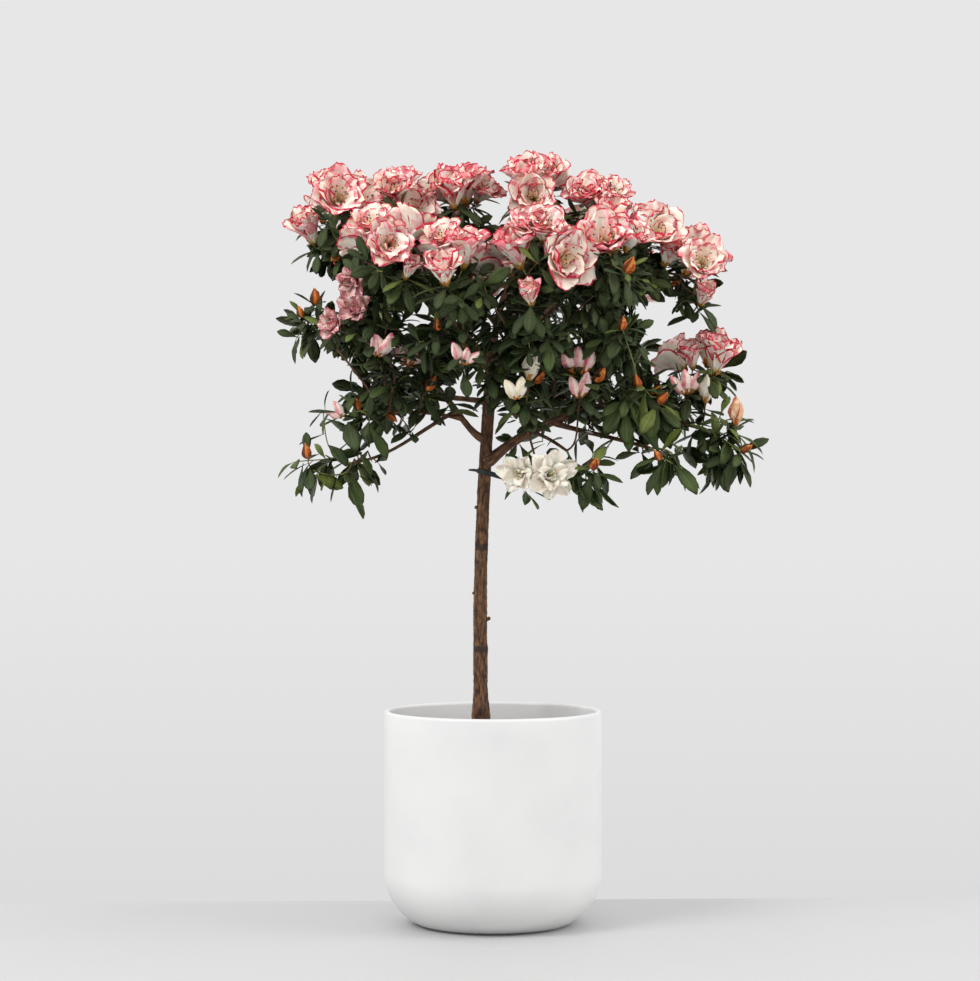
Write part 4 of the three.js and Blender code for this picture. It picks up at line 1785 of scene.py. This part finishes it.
def petal(length, width, lean, foot, turn, wave, luck):
    """Points and quads of one petal, in mm. lean is its angle from the axis at foot and end."""
    along, across = np.meshgrid(PETAL_ROWS, PETAL_COLUMNS, indexing="ij")
    angle = np.radians(lean[0] + (lean[1] - lean[0]) * PETAL_ROWS**1.2)
    run = np.diff(PETAL_ROWS, prepend=0) * length
    middle = (angle + np.concatenate([[angle[0]], angle[:-1]])) / 2
    out = (foot + np.cumsum(run * np.sin(middle)))[:, None]
    up = np.cumsum(run * np.cos(middle))[:, None]
    angle = angle[:, None]
    half = petal_half_width(along) * width
    short = petal_outline(along, across, length, luck)
    lift = petal_ruffle(along, across, wave, luck) + 0.24 * half * across**2
    radius = out - np.sin(angle) * short - np.cos(angle) * lift
    sheet = np.empty(along.shape + (3,))
    sheet[..., 1] = across * half
    sheet[..., 0] = np.sqrt(np.maximum(radius**2 - 0.3 * sheet[..., 1] ** 2, 0.2))
    sheet[..., 2] = up - np.cos(angle) * short + np.sin(angle) * lift
    points, faces = two_sided(sheet[:, ::-1], PETAL_THICK)
    return points @ around_axis(turn), faces


def petal_bands(luck, inner, flush):
    """A finish for each face: a crimson edge round blush and cream. flush makes it pinker."""
    rows, columns = len(PETAL_ROWS) - 1, len(PETAL_COLUMNS) - 1
    place = Vector((luck.uniform(0, 90), luck.uniform(0, 90), 0))
    bands = []
    for row in range(rows):
        for column in range(columns):
            from_side = min(column, columns - 1 - column) if row > 1 else 9
            edge = min(rows - 1 - row, from_side)
            patch = noise.noise(place + Vector((row * 0.35, column * 0.8, 0))) + flush
            if row == 0 or (row == 1 and inner):
                bands.append(THROAT)
            elif edge == 0:
                bands.append(CRIMSON if patch > -0.25 else ROSE)
            elif edge == 1:
                bands.append(ROSE if patch > 0.22 else BLUSH if patch > 0 else CREAM)
            else:
                bands.append(ROSE if patch > 0.42 else BLUSH if patch > 0.16 else CREAM)
    return bands


print("petals of", (len(PETAL_ROWS) - 1) * (len(PETAL_COLUMNS) - 1), "faces a side")

# %% [markdown]
# ## Stamens and scales
# Out of the middle stand a few thin stamens, each with a dark bead at its end, and papery scales
# hold the foot. They are small and many, so a stamen is a tube with only three sides, a bead has
# eight faces, and a scale is a little pointed blade.

# %% Stamens and scales
STAMEN_SIDES = 3


def no_relief(turn, along, radius):
    return 0.0


def rod(line, radius):
    line = np.array([[*p, radius * (1 - 0.4 * i / len(line))] for i, p in enumerate(line)], float)
    step = norm(line[1, :3] - line[0, :3])
    return limb_tube(line, STAMEN_SIDES, step, no_relief)[:2]


def bead(middle, half):
    ways = ((1, 0, 0), (0, 1, 0), (-1, 0, 0), (0, -1, 0), (0, 0, 1.7), (0, 0, -1.7))
    ends = [np.array(middle, float) + np.array(way) * half for way in ways]
    return ends, [
        (0, 1, 4), (1, 2, 4), (2, 3, 4), (3, 0, 4), (1, 0, 5), (2, 1, 5), (3, 2, 5), (0, 3, 5)
    ]


def bud_scale(length, width, lean, turn):
    along, across = np.meshgrid(np.array([0, 0.4, 0.75, 1]), np.array([-1, 0, 1]), indexing="ij")
    half = width / 2 * np.sqrt(np.maximum(1 - along**1.5, 0.01))
    sheet = np.empty(along.shape + (3,))
    sheet[..., 0] = 1.3 + along * length * sin(lean) - 0.4 * across**2
    sheet[..., 1] = -across * half
    sheet[..., 2] = -1.5 + along * length * cos(lean)
    points, faces = two_sided(sheet, 0.35)
    return points @ around_axis(turn), faces


print("scales of", len(bud_scale(8, 4, 0, 0)[1]), "faces")

# %% Whole blooms
# A whorl is (petals, length, width, (lean at foot, lean at end), the foot's distance off the axis).
OPEN_WHORLS = [(6, 31, 23, (20, 66), 1.7), (6, 28, 19, (15, 50), 1.3), (2, 19, 9, (10, 38), 0.9)]
SIDE_WHORLS = [(6, 33, 22, (13, 46), 1.7), (6, 30, 18, (9, 33), 1.3), (2, 21, 10, (5, 24), 0.9)]
CUP_WHORLS = [(5, 31, 19, (10, 30), 1.6), (5, 29, 16, (6, 17), 1.2)]
FADED_WHORLS = [(5, 25, 15, (22, 72), 1.6), (5, 24, 12, (14, 46), 1.2), (3, 18, 9, (6, 24), 0.8)]
SHORTEST_STAMEN = 17
LONGEST_STAMEN = 23
STAMEN_RADIUS = 0.4
BEAD_HALF = 0.75
SCALES = 6
UNIT_WIDTH = 50


def bloom(name, whorls, seed, wave=1.8, stamens=9, flush=0.0):
    luck = np.random.default_rng(seed)
    parts, bands = [], []

    def add(made, finish):
        parts.append((*made, []))
        bands.extend([finish] * len(made[1]))

    for whorl, (count, length, wide, lean, foot) in enumerate(whorls):
        first = luck.uniform(0, 6)
        for i in range(count):
            turn = first + (i + luck.uniform(-0.16, 0.16)) * tau / count
            leaning = (lean[0] + luck.uniform(-4, 4), lean[1] + luck.uniform(-18, 18))
            long = length * luck.uniform(0.9, 1.08)
            broad = wide * luck.uniform(0.9, 1.12)
            points, faces = petal(long, broad, leaning, foot, turn, wave * (1 + 0.2 * whorl), luck)
            parts.append((points, faces, []))
            bands += petal_bands(luck, whorl > 0, flush)
            bands += petal_bands(luck, False, flush + 0.04)
    for i in range(stamens):
        turn, spread = i * GOLDEN, luck.uniform(0.1, 0.5)
        long = luck.uniform(SHORTEST_STAMEN, LONGEST_STAMEN)
        bend = []
        for z in (2, long / 2, long):
            out = spread * z**1.3 / 3
            bend.append((cos(turn) * out, sin(turn) * out, z))
        add(rod(bend, STAMEN_RADIUS), THROAT)
        add(bead(bend[-1], BEAD_HALF), DARK)
    for i in range(SCALES):
        long, lean = luck.uniform(6, 10), radians(luck.uniform(16, 40))
        add(bud_scale(long, 4.2, lean, i * GOLDEN), GREEN)
    points, faces, _ = joined(parts)
    return template(name, np.array(points) / UNIT_WIDTH, faces, bands)


OPEN_FLUSH = (-0.1, 0.05, 0)
SIDE_FLUSH = (0.06, -0.04, 0)
blooms = [bloom(f"bloom_{i}", OPEN_WHORLS, 20 + i, flush=OPEN_FLUSH[i % 3]) for i in range(6)]
blooms += [bloom(f"bloom_{i}", CUP_WHORLS, 20 + i, stamens=4, flush=0.05) for i in (6, 7, 8)]
blooms += [bloom("bloom_9", FADED_WHORLS, 49, wave=2.4, stamens=3)]
for i, flush in enumerate(SIDE_FLUSH):
    blooms.append(bloom(f"bloom_side_{i}", SIDE_WHORLS, 80 + i, wave=2.2, flush=flush))
BLOOM_KINDS = {
    "open": range(6), "face": range(6), "cup": range(6, 9), "faded": [9], "side": range(10, 13)
}
bloom_shapes = template_collection("bloom_shapes", blooms)
print(len(blooms), "blooms, the largest of", max(len(o.data.polygons) for o in blooms), "faces")

# %% [markdown]
# ## Petal finishes
# Petals are thin and wet, so a little of the light that enters them comes out again close by, which
# subsurface scattering gives them. Their colours run from cream through blush and rose to the
# crimson of their edges. Each is its own finish, dealt out face by face, so the crimson margin
# stays where it is.

# %% Petal finishes
PETAL_PATCH = 5 * MM
PETAL_SOFT, BUD_SOFT = 0.25, 0.1


def petal_finish(name, shades, soft=PETAL_SOFT):
    tender = {"Subsurface_Weight": soft, "Subsurface_Scale": 1.2 * MM, "Specular_IOR_Level": 0.25}
    return mottled(name, shades, PETAL_PATCH, (0.5, 0.65), (0.04 * MM, 1 * MM), detail=1, **tender)


def flower_finishes(prefix, shades_of):
    return [petal_finish(f"{prefix}_{part}", shades) for part, shades in shades_of.items()]


PINK_EDGED = {
    "cream": [(254, 244, 230), (253, 237, 221), (251, 228, 214)],
    "blush": [(252, 223, 213), (249, 204, 199), (245, 184, 183)],
    "rose": [(241, 160, 163), (231, 124, 136), (246, 188, 185)],
    "crimson": [(208, 42, 68), (190, 28, 54), (222, 78, 96)],
    "throat": [(250, 234, 186), (242, 222, 158), (253, 234, 206)],
    "scales": [(176, 112, 44), (198, 124, 52), (150, 150, 66)],
    "anthers": [(66, 30, 24), (92, 46, 34), (50, 22, 20)],
}
FADED = {
    "cream": [(240, 214, 206), (230, 196, 190), (216, 176, 172)],
    "blush": [(232, 194, 190), (220, 172, 170), (206, 152, 154)],
    "rose": [(214, 150, 152), (198, 124, 130), (222, 172, 170)],
    "crimson": [(180, 84, 98), (160, 66, 82), (190, 110, 118)],
    "throat": [(214, 190, 140), (196, 166, 116), (216, 184, 152)],
    "scales": [(170, 104, 50), (186, 116, 56), (120, 104, 54)],
    "anthers": [(66, 34, 26), (82, 44, 32), (50, 24, 20)],
}
bloom_finishes = flower_finishes("bloom", PINK_EDGED) + flower_finishes("faded", FADED)
print(len(bloom_finishes), "petal finishes")

# %% [markdown]
# ## Planting the blooms
# Each bloom looks along its tip and is turned freely about it, so that two from one template
# differ. They make three pieces, left, right and behind, and each stands in for the whole mound.

# %% Plant the blooms
FADED_TINT = 1
FRONT_HALF = 10 * MM


def spot_of(tip, kinds, tint):
    side, front = across(tip["axis"])
    turn = rng.uniform(0, tau)
    face = side * cos(turn) + front * sin(turn)
    return (tip["place"], upright(tip["axis"], face), tip["size"], int(rng.choice(kinds)), tint)


flower_nodes = [n for n in masses if slot_of[n] == "blossom"]
bloom_sizes = {"Across": BLOOM_WIDTH, "Along": BLOOM_WIDTH}
bloom_spots = {"blossoms_front_left": [], "blossoms_front_right": [], "blossoms_back": []}
for tip in tips:
    if tip["kind"] in BLOOM_KINDS:
        front_piece = "blossoms_front_left" if tip["place"].x < 0 else "blossoms_front_right"
        label = front_piece if tip["place"].y < FRONT_HALF else "blossoms_back"
        tint = FADED_TINT if tip["kind"] == "faded" else 0
        bloom_spots[label].append(spot_of(tip, list(BLOOM_KINDS[tip["kind"]]), tint))
for label, spots in bloom_spots.items():
    piece = planted(label, spots, bloom_shapes, bloom_finishes, PETAL_BANDS, **bloom_sizes)
    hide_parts(*flower_nodes)
    print(label, len(spots), "blooms of", len(piece.data.polygons), "faces")
drop_templates(bloom_shapes)

# %% [markdown]
# ## The sport: two white blooms
# Such azaleas often throw a sport, a twig whose flowers have lost their colour. This plant has one
# low beside the stem, with two looser white flowers. Recoloured pink blooms would be too full, so
# they have narrow, wide-open whorls of their own.

# %% White blooms
WHITE_WHORLS = [(6, 31, 18, (30, 84), 1.6), (5, 28, 15, (18, 62), 1.2), (3, 18, 8, (8, 40), 0.8)]
WHITE = {
    "cream": [(249, 244, 234), (246, 238, 225), (240, 229, 213)],
    "blush": [(248, 242, 231), (244, 234, 219), (238, 224, 209)],
    "rose": [(246, 238, 226), (240, 227, 212), (248, 241, 230)],
    "crimson": [(249, 242, 232), (246, 236, 223), (240, 222, 208)],
    "throat": [(238, 236, 196), (226, 228, 172), (244, 238, 210)],
    "scales": [(176, 124, 62), (150, 150, 70), (196, 132, 62)],
    "anthers": [(190, 146, 96), (150, 104, 66), (206, 170, 120)],
}
white_tips = [tip for tip in tips if tip["kind"] == "white"]
white_blooms = [bloom(f"white_{i}", WHITE_WHORLS, 60 + i, wave=3.0, stamens=6) for i in range(2)]
white_shapes = template_collection("white_shapes", white_blooms)
spots = [spot_of(tip, [i % 2], 0) for i, tip in enumerate(white_tips)]
white_finishes = flower_finishes("white", WHITE)
white = planted("white_blossoms", spots, white_shapes, white_finishes, PETAL_BANDS, **bloom_sizes)
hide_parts("white_flowers")
drop_templates(white_shapes)
print("white blooms", len(spots))

# %% [markdown]
# ## Buds
# Between the blooms stand buds of every age. The youngest are brown and scaly, and sit upright in
# their rosettes. Older ones are long and pointed, with the petals wound round each other: cream
# down the middle of each petal, pink along the edges and the tip, and held in orange-brown scales.
# A closed flower is a larger, more twisted one, and a withered one is the same gone brown. Single
# scales would be too fine to see, so all are turned bodies with ridges and a twist, and each face
# takes the band of its scale or petal. On brown buds the bands also paint light and shade: a
# painted highlight down the middle of each scale and in patches near the tip, and painted shade
# between the scales.

# %% The shape of a bud
# A bud's bands. On pink, cream, closed and withered buds they are the real tip, petal sides, foot
# scales and petal edges. On brown buds the tip band is a painted highlight down each scale, the
# edge band paler painted highlights near the tip, and the scale band painted shade between the
# scales, and it also colours the foot.
BUD_TIP_AND_PAINTED_HIGHLIGHT, BUD_SIDE, BUD_SCALE_AND_PAINTED_SHADE, BUD_EDGE_AND_PAINTED_HIGHLIGHT = range(4)
BUD_BANDS = 4
# Outlines are (radius, height) beside a length of one.
LONG_BUD = [(0, 0), (0.05, 0.02), (0.1, 0.12), (0.17, 0.28), (0.21, 0.48), (0.18, 0.68)]
LONG_BUD += [(0.11, 0.85), (0.04, 0.96), (0, 1)]
FAT_BUD = [(0, 0), (0.12, 0.03), (0.2, 0.12), (0.26, 0.26), (0.28, 0.4), (0.26, 0.54)]
FAT_BUD += [(0.2, 0.68), (0.13, 0.82), (0.06, 0.93), (0, 1)]


def bud(name, outline, band_of, seed, sides, twist, ridge=0.12):
    """A closed bud of unit length. band_of(ring, side, luck) names the band of each face."""
    luck = np.random.default_rng(seed)
    outline = np.array(outline, float)
    points = [(0, 0, outline[0, 1])]
    faces, bands = [], []
    for radius, height in outline[1:-1]:
        for side in range(sides):
            turn = side * tau / sides + twist * height
            out = radius * (1 + (ridge if side % 3 == 0 else -ridge / 2)) * luck.uniform(0.95, 1.05)
            points.append((out * cos(turn), out * sin(turn), height))
    points.append((0, 0, outline[-1, 1]))
    rings = len(outline) - 2
    for side in range(sides):
        after = (side + 1) % sides
        faces.append((0, 1 + after, 1 + side))
        bands.append(BUD_SCALE_AND_PAINTED_SHADE)
        for ring in range(rings - 1):
            low, high = 1 + ring * sides, 1 + (ring + 1) * sides
            faces.append((low + side, low + after, high + after, high + side))
            bands.append(band_of(ring, side, luck))
        last = 1 + (rings - 1) * sides
        faces.append((last + side, last + after, len(points) - 1))
        bands.append(band_of(rings - 1, side, luck))
    return template(name, points, faces, bands)


def petal_bud_band(ring, side, luck):
    """Scales at the foot, then a pink edge and two cream faces for each petal, and a pink tip."""
    if ring + luck.uniform(-0.8, 0.5) < 1.1:
        return BUD_SCALE_AND_PAINTED_SHADE
    if ring >= 6:
        return BUD_TIP_AND_PAINTED_HIGHLIGHT
    if side % 3 == 0:
        return BUD_EDGE_AND_PAINTED_HIGHLIGHT
    return BUD_SIDE if ring + luck.uniform(-1, 1) < 5 else BUD_EDGE_AND_PAINTED_HIGHLIGHT


def scaly_bud_band(ring, side, luck):
    """Long scales side by side: painted shade between them, a painted highlight down each middle.
    """
    if side % 3 == 0:
        return BUD_SCALE_AND_PAINTED_SHADE
    if ring > 4 and luck.random() < 0.4:
        return BUD_EDGE_AND_PAINTED_HIGHLIGHT
    return BUD_TIP_AND_PAINTED_HIGHLIGHT if side % 3 == 1 else BUD_SIDE


print("bud outlines of", len(LONG_BUD), "and", len(FAT_BUD), "points")

# %% Bud templates and finishes
buds = [bud(f"bud_{i}", LONG_BUD, petal_bud_band, 70 + i, 9, 1.1) for i in range(3)]
buds += [bud(f"bud_{i}", FAT_BUD, scaly_bud_band, 70 + i, 9, 0.4, 0.2) for i in range(3, 6)]
buds += [bud("bud_6", LONG_BUD, petal_bud_band, 76, 12, 1.7, 0.26)]
bud_shapes = template_collection("bud_shapes", buds)
BUD_KINDS = {
    "pink": range(3), "cream": range(3), "brown": range(3, 6), "closed": [6], "withered": [6]
}
BUD_TINTS = {"pink": 0, "cream": 1, "brown": 2, "closed": 1, "withered": 3}
PINK_BUD = {
    "tip": [(232, 96, 116), (222, 74, 98), (240, 138, 146)],
    "side": [(253, 238, 226), (250, 224, 214), (247, 206, 200)],
    "scale": [(172, 96, 40), (190, 112, 48), (136, 130, 62)],
    "edge": [(238, 142, 150), (246, 182, 180), (226, 106, 122)],
}
CREAM_BUD = {
    "tip": [(250, 240, 218), (247, 233, 206), (244, 224, 196)],
    "side": [(254, 248, 236), (251, 241, 224), (247, 234, 212)],
    "scale": [(200, 122, 58), (216, 150, 82), (166, 150, 74)],
    "edge": [(246, 234, 202), (240, 226, 188), (251, 242, 226)],
}
# On brown buds side is the scales' own brown, tip a painted highlight, edge paler painted
# highlights near the tip, and scale painted shade between the scales and the colour of the foot.
BROWN_BUD = {
    "tip": [(200, 106, 40), (216, 130, 54), (180, 86, 36)],
    "side": [(156, 74, 30), (178, 92, 38), (132, 60, 26)],
    "scale": [(84, 40, 20), (108, 52, 26), (72, 44, 22)],
    "edge": [(222, 148, 74), (204, 120, 50), (236, 172, 102)],
}
WITHERED_BUD = {
    "tip": [(196, 126, 86), (176, 102, 62), (214, 158, 120)],
    "side": [(226, 188, 152), (206, 158, 120), (236, 206, 176)],
    "scale": [(188, 98, 38), (206, 118, 50), (162, 80, 30)],
    "edge": [(194, 116, 80), (168, 88, 54), (216, 150, 118)],
}
bud_finishes = []
BUD_SHADES = {"pink": PINK_BUD, "cream": CREAM_BUD, "brown": BROWN_BUD, "withered": WITHERED_BUD}
for kind, shades_of in BUD_SHADES.items():
    for part, shades in shades_of.items():
        bud_finishes.append(petal_finish(f"{kind}_bud_{part}", shades, BUD_SOFT))

# %% [markdown]
# ## Planting the buds
# Pink and cream buds stand in twos and threes and lean apart, and the others stand alone. One bud
# repeated would show, so each is drawn from a few templates.

# %% Plant the buds
BUD_LENGTHS = {"pink": 17.5, "cream": 17, "brown": 14, "closed": 17, "withered": 17}
THREE_BUDS = {"pink": 0.35, "cream": 0}
BUD_SPREAD = 0.55
BUD_GAP = 0.14
BUD_SUNK = 1.5 * MM
spots = []
for tip in tips:
    kind = tip["kind"]
    if kind not in BUD_KINDS:
        continue
    many = 2 + int(rng.random() < THREE_BUDS[kind]) if kind in THREE_BUDS else 1
    for i in range(many):
        about = i - (many - 1) / 2
        size = BUD_LENGTHS[kind] * MM * tip["size"] * rng.uniform(0.85, 1.1)
        aside = tip["axis"].cross(FRONT).normalized() * about
        way = (tip["axis"] + aside * BUD_SPREAD).normalized()
        foot = tip["place"] + aside * size * BUD_GAP - way * BUD_SUNK
        turned_so = upright(way, across(way)[0])
        template_number = int(rng.choice(list(BUD_KINDS[kind])))
        spots.append((foot, turned_so, size, template_number, BUD_TINTS[kind]))
budded = planted("flower_buds", spots, bud_shapes, bud_finishes, BUD_BANDS)
drop_templates(bud_shapes)
print(len(spots), "buds,", len(budded.data.polygons), "faces")
